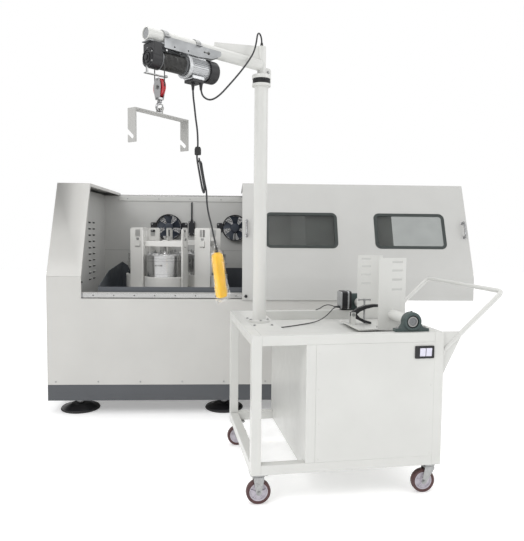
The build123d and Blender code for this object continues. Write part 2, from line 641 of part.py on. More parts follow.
def build_drive():
    """Motor, belt, bearing housing with the fixed sun pulley, and the turning carrier."""
    centre = (CARRIER_X, CARRIER_Y)
    plate_top = DRIVE_PLATE_BOTTOM + DRIVE_PLATE_THICKNESS
    plate = block((BEAM_PAIR_X[0] - 18, BEAM_PAIR_X[1] + 18), (430, 970), (DRIVE_PLATE_BOTTOM, plate_top))
    plate -= upright(*centre, MAIN_SHAFT_RADIUS + 15, DRIVE_PLATE_BOTTOM, plate_top)
    housing = upright(*centre, HOUSING_RADIUS, plate_top, HOUSING_TOP)
    housing += upright(*centre, SUN_PULLEY_RADIUS, plate_top, plate_top + 20)
    housing -= upright(*centre, MAIN_SHAFT_RADIUS + SHAFT_GAP, plate_top, HOUSING_TOP)
    sun_top = FIRST_BELT_Z + STATION_COUNT * BELT_LEVEL_PITCH
    sun = upright(*centre, SUN_PULLEY_RADIUS, HOUSING_TOP, sun_top)
    sun -= upright(*centre, MAIN_SHAFT_RADIUS + 5, HOUSING_TOP, sun_top)
    add("bearing_housing", plate, housing, sun)

    shaft = upright(*centre, MAIN_SHAFT_RADIUS, MAIN_SHAFT_BOTTOM, CARRIER_BOTTOM)
    shaft += upright(*centre, DRIVEN_PULLEY_RADIUS, *DRIVE_PULLEY_Z)
    for low, high in ((DRIVE_PULLEY_Z[0], 495), (515, DRIVE_PULLEY_Z[1])):
        recess = upright(*centre, DRIVEN_PULLEY_RADIUS - 20, low, high) - upright(*centre, 60, low, high)
        shaft -= recess
    disc = upright(*centre, CARRIER_RADIUS, CARRIER_BOTTOM, CARRIER_TOP)
    for index in range(STATION_COUNT):
        x, y = station_centre(index)
        disc += upright(x, y, 48, CARRIER_TOP, CUP_BOTTOM - 2)
    for index in range(STATION_COUNT):
        x, y = station_centre(index)
        disc -= upright(x, y, PLANET_SHAFT_RADIUS + SHAFT_GAP, CARRIER_BOTTOM, CUP_BOTTOM)
    add("carrier", shaft, disc)
    belts = []
    for index in range(STATION_COUNT):
        low = FIRST_BELT_Z + index * BELT_LEVEL_PITCH
        belts.append(belt(centre, SUN_PULLEY_RADIUS, station_centre(index), PLANET_PULLEY_RADIUS,
                          (low, low + BELT_WIDTH), BELT_THICKNESS))
    add("planet_belts", *belts)

    motor_at = (MOTOR_X, CARRIER_Y)
    base_top = PLINTH_TOP + MOTOR_PLATE
    base = block((MOTOR_X - 160, MOTOR_X + 160), (CARRIER_Y - 150, CARRIER_Y + 150), (PLINTH_TOP, base_top))
    motor = upright(*motor_at, MOTOR_RADIUS, base_top, MOTOR_TOP)
    motor += upright(*motor_at, MOTOR_RADIUS - 25, MOTOR_TOP, MOTOR_TOP + 12)
    box_x = (MOTOR_X + MOTOR_RADIUS - 10, MOTOR_X + MOTOR_RADIUS + 40)
    motor += block(box_x, (CARRIER_Y - 45, CARRIER_Y + 45), (300, 390))
    motor -= upright(*motor_at, MOTOR_SHAFT_RADIUS + SHAFT_GAP, MOTOR_TOP - 60, MOTOR_TOP + 12)
    add("drive_motor", base, motor)
    pulley = upright(*motor_at, MOTOR_SHAFT_RADIUS, MOTOR_TOP - 59.5, DRIVE_PULLEY_Z[1] + 8)
    pulley += upright(*motor_at, MOTOR_PULLEY_RADIUS, *DRIVE_PULLEY_Z)
    add("motor_pulley", pulley)
    add("drive_belt", belt(centre, DRIVEN_PULLEY_RADIUS, motor_at, MOTOR_PULLEY_RADIUS, DRIVE_BELT_Z,
                           DRIVE_BELT_THICKNESS))


def station_angle(index):
    """Direction of a jar station from the carrier's axis, in degrees."""
    return FIRST_STATION_ANGLE + index * 360 / STATION_COUNT


def station_centre(index):
    """Axis of a jar station, on the pitch circle."""
    angle = math.radians(station_angle(index))
    return CARRIER_X + PITCH_RADIUS * math.cos(angle), CARRIER_Y + PITCH_RADIUS * math.sin(angle)


def build_stations():
    """Four planet stations, each with a jar and its lid."""
    for index in range(STATION_COUNT):
        place = Location((*station_centre(index), 0), (0, 0, station_angle(index)))
        cup = upright(0, 0, CUP_RADIUS, CUP_BOTTOM, CUP_TOP)
        cup -= upright(0, 0, JAR_RADIUS + 2, JAR_BOTTOM, CUP_TOP)
        for side in (-1, 1):
            inner, outer = sorted((side * (CUP_RADIUS - 4), side * HALF_SPAN))
            post = block((-POST_WIDTH / 2, POST_WIDTH / 2), (inner, outer), (CUP_BOTTOM, POST_TOP))
            for low, high in POST_WINDOWS:
                post -= block((-POST_WINDOW_WIDTH / 2, POST_WINDOW_WIDTH / 2), (inner, outer), (low, high))
            pin_start = (0, side * HALF_SPAN, LIFT_PIN_HEIGHT)
            post += rod(pin_start, (0, side, 0), LIFT_PIN_RADIUS, LIFT_PIN_LENGTH)
            cup += post
        pulley_low = FIRST_BELT_Z - 1 + index * BELT_LEVEL_PITCH
        shaft = upright(0, 0, PLANET_SHAFT_RADIUS, FIRST_BELT_Z - 3, CUP_BOTTOM)
        shaft += upright(0, 0, PLANET_PULLEY_RADIUS, pulley_low, pulley_low + BELT_WIDTH + 2)
        reach = HALF_SPAN + BEAM_OVERHANG
        beam = block((-BEAM_DEPTH / 2, BEAM_DEPTH / 2), (-reach, reach), (BEAM_LOW, BEAM_LOW + BEAM_HEIGHT))
        beam -= upright(0, 0, CLAMP_SCREW_RADIUS + SHAFT_GAP, BEAM_LOW, BEAM_LOW + BEAM_HEIGHT)
        add(f"station_{index + 1}", cup, shaft, beam, place=place)

        jar = upright(0, 0, JAR_RADIUS, JAR_BOTTOM, JAR_TOP)
        jar -= upright(0, 0, JAR_RADIUS - JAR_WALL, JAR_BOTTOM + JAR_WALL, JAR_TOP)
        add(f"jar_{index + 1}", jar, place=place)

        lid_low = JAR_TOP + RUNNING_GAP
        lid = upright(0, 0, JAR_RADIUS, lid_low, LID_TOP)
        lid += upright(0, 0, JAR_RADIUS - JAR_WALL - 0.5, lid_low - LID_PLUG, lid_low)
        lid += upright(0, 0, LID_KNOB_RADIUS, LID_TOP, LID_TOP + LID_KNOB_HEIGHT)
        screw = upright(0, 0, CLAMP_SCREW_RADIUS, LID_TOP + LID_KNOB_HEIGHT, CLAMP_SCREW_TOP)
        screw += extrude(Pos(0, 0, CLAMP_SCREW_TOP) * RegularPolygon(18, 6), amount=12)
        add(f"jar_lid_{index + 1}", lid, screw, place=place)


def build_tub():
    """Drip tub round the carrier, with walls that rise to the back."""
    plan = [(x, y) for x, y, _ in TUB_RIM]
    tub = prism(plan, "Z", TUB_FLOOR, TUB_FLOOR + TUB_WALL)
    middle = Vector(sum(x for x, _ in plan) / len(plan), sum(y for _, y in plan) / len(plan), 0)
    for (xa, ya, za), (xb, yb, zb) in zip(TUB_RIM, TUB_RIM[1:] + TUB_RIM[:1]):
        corners = [(xa, ya, TUB_FLOOR), (xb, yb, TUB_FLOOR), (xb, yb, zb), (xa, ya, za)]
        normal = Vector(-(yb - ya), xb - xa, 0).normalized()
        if normal.dot(middle - Vector(xa, ya, 0)) < 0:
            normal = normal * -1
        tub += extrude(Face(Wire.make_polygon(corners, close=True)), amount=TUB_WALL, dir=normal)
    tub -= upright(CARRIER_X, CARRIER_Y, TUB_HOLE_RADIUS, TUB_FLOOR, TUB_FLOOR + TUB_WALL)
    add("drip_tub", tub)


def build_fans():
    """Two axial fans on the back wall, with a junction box and its conduit."""
    front_y = BACK_WALL_Y - FAN_DEPTH
    frames = []
    for index, x in enumerate(FAN_X):
        def disc(radius, start, length):
            return rod((x, start, FAN_Z), (0, 1, 0), radius, length)

        frame = disc(FAN_RADIUS, front_y, FAN_DEPTH) - disc(FAN_RADIUS - FAN_RING, front_y, FAN_DEPTH)
        spoke_y = (BACK_WALL_Y - 12, BACK_WALL_Y)
        reach = FAN_RADIUS - FAN_RING / 2
        frame += block((x - reach, x + reach), spoke_y, (FAN_Z - 6, FAN_Z + 6))
        frame += block((x - 6, x + 6), spoke_y, (FAN_Z - reach, FAN_Z + reach))
        frame += disc(FAN_HUB_RADIUS - 4, BACK_WALL_Y - 22, 22)
        for side in (-1, 1):
            ear = sorted((x + side * (FAN_RADIUS - 4), x + side * (FAN_RADIUS + 52)))
            frame += block(ear, (BACK_WALL_Y - 8, BACK_WALL_Y), (FAN_Z - 46, FAN_Z + 46))
        frame -= disc(FAN_SHAFT_RADIUS + SHAFT_GAP, BACK_WALL_Y - 22, 22)
        frames.append(frame)
        rotor = disc(FAN_HUB_RADIUS, front_y + 4, 36) + disc(FAN_SHAFT_RADIUS, front_y + 40, 22)
        for blade in range(FAN_BLADES):
            angle = blade * 360 / FAN_BLADES
            reach = FAN_RADIUS - FAN_RING - 6
            root = FAN_HUB_RADIUS - 4
            sheet = Pos(0, 0, (root + reach) / 2) * Rot(0, 0, 38) * Box(52, 3, reach - root)
            rotor += Pos(x, front_y + 24, FAN_Z) * Rot(0, angle, 0) * sheet
        add(f"fan_rotor_{index + 1}", rotor)
    box = block((925, 985), (BACK_WALL_Y - 36, BACK_WALL_Y), (1330, 1460))
    conduit = upright(955, BACK_WALL_Y - 14, 7, 1460, 1640)
    add("fan_frames", *frames, box, conduit)


def trolley_place():
    """Where the trolley stands in the mill's frame."""
    return Location((TROLLEY_X, TROLLEY_Y, 0), (0, 0, TROLLEY_YAW))


def jib_place():
    """Frame of the jib: X outwards along the arm, Y towards the user's side."""
    return trolley_place() * Location((COLUMN_X, COLUMN_Y, 0), (0, 0, JIB_YAW))


def build_trolley():
    """Tube frame, panels, tray, push handle, casters and switches."""
    length, depth, tube = TROLLEY_LENGTH, TROLLEY_DEPTH, TROLLEY_TUBE
    place = trolley_place()
    top = (TROLLEY_TOP - tube, TROLLEY_TOP)
    low = (TROLLEY_BOTTOM, TROLLEY_BOTTOM + tube)
    full = (TROLLEY_BOTTOM, TROLLEY_TOP)
    rows = ((0, tube), (depth - tube, depth))
    ends = ((0, tube), (length - tube, length))
    middle = (CABINET_X, CABINET_X + tube)
    inside_y = (tube, depth - tube)
    tubes = []
    for row in rows:
        tubes += [block(x, row, full) for x in ends]
        tubes += [block((tube, length - tube), row, z) for z in (top, low)]
        tubes.append(block(middle, row, (low[1], top[0])))
    tubes += [block(x, inside_y, z) for x in ends for z in (top, low)]
    tubes.append(block(middle, inside_y, low))
    forks = [caster_fork(LEFT_WHEEL_X, y, 0) for y in (WHEEL_INSET_Y, depth - WHEEL_INSET_Y)]
    add("trolley_frame", *tubes, *forks, place=place)

    front = block((CABINET_X + tube, length - tube), (0, PANEL_SHEET), (low[1], top[0]))
    back = block((CABINET_X + tube, length - tube), (depth - PANEL_SHEET, depth), (low[1], top[0]))
    left = block((CABINET_X, CABINET_X + PANEL_SHEET), inside_y, (low[1], TRAY_FLOOR))
    right = block((length - PANEL_SHEET, length), inside_y, (low[1], top[0]))
    floor = block((CABINET_X + tube, length - tube), inside_y, (low[1] - PANEL_SHEET, low[1]))
    switch = block(SWITCH_X, (-5, 0), SWITCH_Z)
    body_x, body_z = ((low + 5, high - 5) for low, high in (SWITCH_X, SWITCH_Z))
    switch += block(body_x, (PANEL_SHEET, 40), body_z)
    for x in ROCKER_X:
        pocket = block((x - 0.5, x + ROCKER_WIDTH + 0.5), (-5, 18), rocker_limits(ROCKER_GAP))
        switch -= pocket
        front -= block((x - 0.5, x + ROCKER_WIDTH + 0.5), (0, PANEL_SHEET), rocker_limits(ROCKER_GAP))
    tray_z = (TRAY_FLOOR, TRAY_FLOOR + PANEL_SHEET)
    rise = (tray_z[1], TROLLEY_TOP)
    tray_end = length - tube
    mouth_x, mouth_y = TRAY_MOUTH
    tray = [block((TRAY_X, mouth_x[0]), inside_y, tray_z), block((mouth_x[1], tray_end), inside_y, tray_z),
            block(mouth_x, (tube, mouth_y[0]), tray_z), block(mouth_x, (mouth_y[1], depth - tube), tray_z)]
    tray += [block((x, x + PANEL_SHEET), inside_y, rise) for x in (TRAY_X, tray_end - PANEL_SHEET)]
    tray += [block((TRAY_X + PANEL_SHEET, tray_end - PANEL_SHEET), (y, y + PANEL_SHEET), rise)
             for y in (tube, depth - tube - PANEL_SHEET)]
    deck_z = (TROLLEY_TOP - DECK_THICKNESS, TROLLEY_TOP)
    deck = block((tube, TRAY_X), inside_y, deck_z)
    for side_x in (-1, 1):
        for side_y in (-1, 1):
            deck -= upright(COLUMN_X + side_x * DECK_HOLE_REACH[0], COLUMN_Y + side_y * DECK_HOLE_REACH[1],
                            DECK_HOLE_RADIUS, *deck_z)
    add("trolley_panels", front, back, left, right, floor, switch, *tray, deck, place=place)

    for index, x in enumerate(ROCKER_X):
        z = rocker_limits(0)
        middle_z = sum(z) / 2
        outline = [(-5.5, z[0]), (-9, z[1]), (2, z[1]), (10, middle_z), (2, z[0])]
        rocker = prism(outline, "X", x, x + ROCKER_WIDTH)
        rocker += rod((x - ROCKER_PIN_REACH, 2, middle_z), (1, 0, 0), ROCKER_PIN_RADIUS,
                      ROCKER_WIDTH + 2 * ROCKER_PIN_REACH)
        add(f"switch_rocker_{index + 1}", rocker, place=place)

    grip_length = depth - 40 + 2 * HANDLE_TUBE
    grip_x = length + PUSH_HANDLE_REACH
    handle = rod((grip_x, 20 - HANDLE_TUBE, PUSH_HANDLE_Z), (0, 1, 0), HANDLE_TUBE, grip_length)
    rise = Vector(PUSH_HANDLE_REACH, 0, PUSH_HANDLE_Z - PUSH_HANDLE_FOOT_Z)
    for y in (20, depth - 20):
        arm = rod((length + 3, y, PUSH_HANDLE_FOOT_Z + 3), rise, HANDLE_TUBE, rise.length - 4)
        handle += arm & block((length, grip_x), (y - 30, y + 30), (600, 1200))
    for y in (20 - 3, depth - 20 - 3):
        corners = [(length, 619), (length + 107, 837), (length + 89, 859), (length, 860)]
        handle += prism(corners, "Y", y, y + 6)
    add("push_handle", handle, place=place)

    for name, y, turn in (("front", WHEEL_INSET_Y, 0), ("rear", depth - WHEEL_INSET_Y, 0)):
        fork = caster_fork(length - SWIVEL_INSET, y, -SWIVEL_TRAIL)
        add(f"caster_fork_{name}", fork, place=place)
        add(f"wheel_{name}", wheel(length - SWIVEL_INSET - SWIVEL_TRAIL, y), place=place)
    wheel_rows = (WHEEL_INSET_Y, depth - WHEEL_INSET_Y)
    add("wheels_left", *[wheel(LEFT_WHEEL_X, y) for y in wheel_rows], place=place)


def rocker_limits(gap):
    """Heights of a switch rocker, grown by a gap."""
    middle = sum(SWITCH_Z) / 2
    return middle - ROCKER_HEIGHT / 2 - gap, middle + ROCKER_HEIGHT / 2 + gap


def caster_fork(x, y, trail):
    """Caster fork: bearing plate, two legs and the axle."""
    half = WHEEL_WIDTH / 2 + 4
    top = TROLLEY_BOTTOM
    fork = block((x - CASTER_PLATE / 2, x + CASTER_PLATE / 2), (y - 38, y + 38), (top - 5, top))
    if trail:
        fork = upright(x, y, 36, top - 6, top - RUNNING_GAP)
    fork += upright(x, y, 26, top - 22, top - 5)
    crown = sorted((x - 24, x + trail + (28 if not trail else 24)))
    fork += block(crown, (y - half - 3, y + half + 3), (2 * WHEEL_RADIUS + 5, top - 17))
    wheel_x = x + trail
    for side in (-1, 1):
        leg = sorted((y + side * half, y + side * (half + 3)))
        corners = [(wheel_x - 13, WHEEL_RADIUS - 14), (wheel_x + 13, WHEEL_RADIUS - 14),
                   (crown[1], top - 20), (crown[0], top - 20)]
        fork += prism(corners, "Y", *leg)
    fork += rod((wheel_x, y - half - 6, WHEEL_RADIUS), (0, 1, 0), AXLE_RADIUS, 2 * half + 12)
    return fork


def wheel(x, y):
    """Caster wheel with a bore for its axle."""
    half = WHEEL_WIDTH / 2
    body = rod((x, y - half, WHEEL_RADIUS), (0, 1, 0), WHEEL_RADIUS, WHEEL_WIDTH)
    groove = rod((x, y - half, WHEEL_RADIUS), (0, 1, 0), WHEEL_RADIUS - 16, 8)
    groove += rod((x, y + half - 8, WHEEL_RADIUS), (0, 1, 0), WHEEL_RADIUS - 16, 8)
    groove -= rod((x, y - half, WHEEL_RADIUS), (0, 1, 0), 16, WHEEL_WIDTH)
    body -= groove
    return body - rod((x, y - half, WHEEL_RADIUS), (0, 1, 0), AXLE_RADIUS + SHAFT_GAP, WHEEL_WIDTH)


def build_column():
    """Fixed column on the trolley, and the jib that turns on it."""
    column = upright(COLUMN_X, COLUMN_Y, COLUMN_RADIUS, TROLLEY_TOP, COLUMN_TOP)
    column += upright(COLUMN_X, COLUMN_Y, COLUMN_FLANGE_RADIUS, TROLLEY_TOP, TROLLEY_TOP + COLUMN_FLANGE)
    column += upright(COLUMN_X, COLUMN_Y, COLLAR_RADIUS, COLUMN_TOP - 4, COLLAR_BAND[0] - RUNNING_GAP)
    centre = (COLUMN_X, COLUMN_Y)
    bore_floor = COLUMN_TOP - PIVOT_DEPTH
    column -= upright(*centre, PIVOT_RADIUS + SHAFT_GAP, bore_floor, COLUMN_TOP + 20)
    column -= upright(*centre, COLUMN_RADIUS - COLUMN_WALL, TROLLEY_TOP, bore_floor - 10)
    add("column", column, place=trolley_place())

    mast = upright(0, 0, MAST_RADIUS, COLLAR_TOP, MAST_TOP)
    jib = upright(0, 0, COLLAR_RADIUS - 4, COLLAR_BAND[0], COLLAR_BAND[1])
    jib += upright(0, 0, COLLAR_RADIUS, COLLAR_BAND[1], COLLAR_TOP)
    jib += upright(0, 0, PIVOT_RADIUS, COLUMN_TOP - PIVOT_DEPTH + 1, COLLAR_TOP)
    arm = rod((0, 0, ARM_Z), (1, 0, 0), ARM_RADIUS, ARM_END)
    arm -= rod((MAST_RADIUS + 20, 0, ARM_Z), (1, 0, 0), ARM_RADIUS - ARM_WALL, ARM_END)
    arm = (arm & block((0, ARM_END), (-ARM_RADIUS, ARM_RADIUS), (COLLAR_TOP, MAST_TOP))) - mast
    arm = max(arm.solids(), key=lambda solid: solid.volume)
    half = GUSSET_THICKNESS / 2
    gusset_end = ARM_Z + ARM_RADIUS + 22
    gusset = prism([(MAST_RADIUS - 4, MAST_TOP), (GUSSET_START, gusset_end), (GUSSET_START, ARM_Z),
                    (MAST_RADIUS - 4, ARM_Z)], "Y", -half, half)
    gusset = gusset - mast - rod((0, 0, ARM_Z), (1, 0, 0), ARM_RADIUS, ARM_END)
    gusset = max(gusset.solids(), key=lambda solid: solid.volume)
    lug = block((-70, -MAST_RADIUS + 4), (-4, 4), (COLLAR_TOP - 30, COLLAR_TOP + 47)) - mast
    lug -= upright(0, 0, COLLAR_RADIUS, COLLAR_TOP - 40, COLLAR_TOP)
    cap = rod((ARM_END - 14, 0, ARM_Z), (1, 0, 0), ARM_RADIUS - ARM_WALL, 8)
    add("jib_arm", jib + mast, arm, gusset, *lug.solids(), cap, place=jib_place())


def build_hoist():
    """Rope hoist under the jib with its drum, two rope falls and hook block."""
    place = jib_place()
    z = HOIST_AXIS_Z
    deck_z = (ARM_Z - ARM_RADIUS - 7, ARM_Z - ARM_RADIUS - 2)
    gear_x = (DRUM_SPAN[1] + 2, GEARBOX_END)

    def axial(start, end, radius):
        return rod((start, 0, z), (1, 0, 0), radius, end - start)

    gearbox = axial(*gear_x, GEARBOX_RADIUS)
    gearbox += block(gear_x, (-GEARBOX_RADIUS + 2, GEARBOX_RADIUS - 2), (z, deck_z[0]))
    gearbox -= axial(gear_x[0], gear_x[0] + 20, DRUM_SHAFT_RADIUS + SHAFT_GAP)
    gearbox += block((621, GEARBOX_END + 4), (-9, 9), (2094, 2099))
    gearbox += block((GEARBOX_END - 14, GEARBOX_END - 6), (-6, 6), (2098, z - 40))
    gearbox += block((gear_x[0] + 2, gear_x[0] + 14), (-58, -30), (z, z + 12))
    gearbox += block((HOOK_S - 6, gear_x[0] + 14), (-58, -DRUM_RADIUS - DRUM_FLANGE - 0.5), (z, z + 12))
    gearbox += block((HOOK_S - 6, HOOK_S + 4), (-50, -DRUM_RADIUS - 1), (z, z + 12))
    motor = axial(334, 392, HOIST_MOTOR_RADIUS + 6) + axial(392, 508, HOIST_MOTOR_RADIUS)
    motor += axial(508, 526, 58)
    motor += block((425, 500), (-34, 40), (z - 72, z - 40))
    motor += block((514, 526), (-28, 28), (z, deck_z[0])) + block((392, 500), (-20, 20), (z, deck_z[0]))
    motor += upright(*PENDANT_CORD_POINTS[0][:2], 9, PENDANT_CORD_POINTS[0][2], z - 70)
    motor += upright(*POWER_CORD_POINTS[0][:2], 9, POWER_CORD_POINTS[0][2], z - 70)
    motor -= axial(500, 526, DRUM_SHAFT_RADIUS + SHAFT_GAP)
    deck = block((334, gear_x[1]), (-ARM_RADIUS - 1, ARM_RADIUS + 1), deck_z)
    bracket = Part()
    for side in (-1, 1):
        low, high = sorted((side * (ARM_RADIUS + 1), side * (ARM_RADIUS + 3)))
        corners = [(658, ARM_Z), (658, 2222), (456, 2220), (370, 2228), (315, 2252), (315, ARM_Z)]
        bracket += prism(corners, "Y", low, high)
    for start in (441, 630):
        strap = rod((start, 0, ARM_Z), (1, 0, 0), ARM_RADIUS + 4, 28)
        strap -= rod((start, 0, ARM_Z), (1, 0, 0), ARM_RADIUS + 0.5, 28)
        bracket += strap & block((start, start + 28), (-50, 50), (ARM_Z - 4, ARM_Z + 50))
    add("hoist_body", gearbox, motor, deck, bracket, place=place)

    drum = axial(*DRUM_SPAN, DRUM_RADIUS) + axial(508, DRUM_SPAN[1] + 18, DRUM_SHAFT_RADIUS)
    drum += axial(DRUM_SPAN[0], DRUM_SPAN[0] + 4, DRUM_RADIUS + DRUM_FLANGE)
    drum += axial(DRUM_SPAN[1] - 4, DRUM_SPAN[1], DRUM_RADIUS + DRUM_FLANGE)
    add("hoist_drum", drum, place=place)

    fall_y = DRUM_RADIUS + RUNNING_GAP + ROPE_RADIUS
    falls = [upright(HOOK_S, side * fall_y, ROPE_RADIUS, SHEAVE_Z, z) for side in (-1, 1)]
    add("hoist_rope", *falls, place=place)

    half = SHEAVE_WIDTH / 2
    sheave = rod((HOOK_S - half, 0, SHEAVE_Z), (1, 0, 0), fall_y + 2, SHEAVE_WIDTH)
    groove = rod((HOOK_S - 4, 0, SHEAVE_Z), (1, 0, 0), fall_y + 3, 8)
    sheave -= groove - rod((HOOK_S - 4, 0, SHEAVE_Z), (1, 0, 0), DRUM_RADIUS, 8)
    sheave -= rod((HOOK_S - half, 0, SHEAVE_Z), (1, 0, 0), 8 + SHAFT_GAP, SHEAVE_WIDTH)
    frame = rod((HOOK_S - 18, 0, SHEAVE_Z), (1, 0, 0), 8, 36)
    cheek = [(-14, 1984), (14, 1984), (30, SHEAVE_Z), (16, 2084), (-16, 2084), (-30, SHEAVE_Z)]
    for start in (HOOK_S - 15, HOOK_S + 10):
        frame += prism(cheek, "X", start, start + 5)
    frame += block((HOOK_S - 15, HOOK_S + 15), (-13, 13), (1984, 1996))
    frame += upright(HOOK_S, 0, 7, HOOK_EYE_Z + HOOK_RING - 2, 1985)
    bowl = Pos(HOOK_S, 0, HOOK_EYE_Z) * Rot(90, 0, 0) * Torus(HOOK_RING, HOOK_WIRE)
    bowl -= block((HOOK_S - 26, HOOK_S - 8), (-8, 8), (HOOK_EYE_Z + 3, HOOK_EYE_Z + 26))
    frame += bowl
    frame += block((HOOK_S - 19, HOOK_S - 16), (-4, 4), (HOOK_EYE_Z - 2, HOOK_EYE_Z + 17))
    frame += block((HOOK_S - 18, HOOK_S), (-4, 4), (HOOK_EYE_Z + 14, HOOK_EYE_Z + 17))
    add("hook_block", frame, sheave, place=place)


def build_bail():
    """Lifting bail on the hook, with a slanted notch in each leg for a lift pin."""
    place = jib_place() * Location((HOOK_S, 0, 0), (0, 0, BAIL_TURN))
    half = BAIL_INNER / 2 + BAIL_PLATE
    width = (-BAIL_WIDTH / 2, BAIL_WIDTH / 2)
    low = BAIL_TOP - BAIL_DROP
    bail = block((-half, half), width, (BAIL_TOP - BAIL_PLATE, BAIL_TOP))
    for start in (-half, half - BAIL_PLATE):
        leg = block((start, start + BAIL_PLATE), width, (low, BAIL_TOP))
        gap = LIFT_PIN_RADIUS + 1.5
        lean = math.radians(40)
        along = (-math.cos(lean), math.sin(lean))
        across = (gap * math.sin(lean), gap * math.cos(lean))
        seat = (2, low + 24)
        mouth = (seat[0] + 50 * along[0], seat[1] + 50 * along[1])
        corners = [(seat[0] + across[0], seat[1] + across[1]), (mouth[0] + across[0], mouth[1] + across[1]),
                   (mouth[0] - across[0], mouth[1] - across[1]), (seat[0] - across[0], seat[1] - across[1])]
        leg -= prism(corners, "X", start, start + BAIL_PLATE)
        leg -= rod((start, *seat), (1, 0, 0), gap, BAIL_PLATE)
        bail += leg
    eye_z = HOOK_EYE_Z - HOOK_RING + HOOK_WIRE + 4.3
    for side in (-1, 1):
        bail += upright(0, side * 18, 3.4, BAIL_TOP - 2, eye_z)
    bail += rod((0, -22, eye_z), (0, 1, 0), 4, 44)
    add("lifting_bail", bail, place=place)


def build_cords():
    """Pendant with its cord, the hoist's power cord and the two loose leads."""
    place = jib_place()
    add("pendant_cord", cord_tube(PENDANT_CORD_POINTS, CORD_RADIUS), place=place)
    top = Vector(*HANK_TOP)
    lean = (Vector(*HANK_BOTTOM) - top).normalized()
    hank = rod(top, lean, HANK_RADIUS, (Vector(*HANK_BOTTOM) - top).length)
    hank += upright(*PENDANT_CORD_POINTS[-1][:2], SLEEVE_RADIUS, HANK_TOP[2] - 4, PENDANT_CORD_POINTS[-1][2])
    add("pendant_hank", hank, place=place)
    hang = Vector(*PENDANT_BOTTOM) - Vector(*PENDANT_TOP)
    first = Vector(*HANK_BOTTOM) + lean * 45
    last = Vector(*PENDANT_TOP) - hang.normalized() * 30
    tail = [HANK_BOTTOM, tuple(first), *TAIL_MIDDLE, tuple(last), PENDANT_TOP]
    add("pendant_tail", cord_tube(tail, CORD_RADIUS), place=place)
    middle = (Vector(*PENDANT_TOP) + Vector(*PENDANT_BOTTOM)) * 0.5
    tilt = math.degrees(math.atan2(-hang.X, -hang.Z))
    box = Pos(*tuple(middle)) * Rot(0, tilt, 0) * Box(PENDANT_WIDTH, PENDANT_DEPTH, hang.length)
    add("pendant", box, place=place)
    add("power_cord", cord_tube(POWER_CORD_POINTS, CORD_RADIUS), place=place)
    add("lead_1", cord_tube(LEAD_1_POINTS, LEAD_RADIUS), place=trolley_place())
    add("lead_2", cord_tube(LEAD_2_POINTS, LEAD_RADIUS), place=trolley_place())


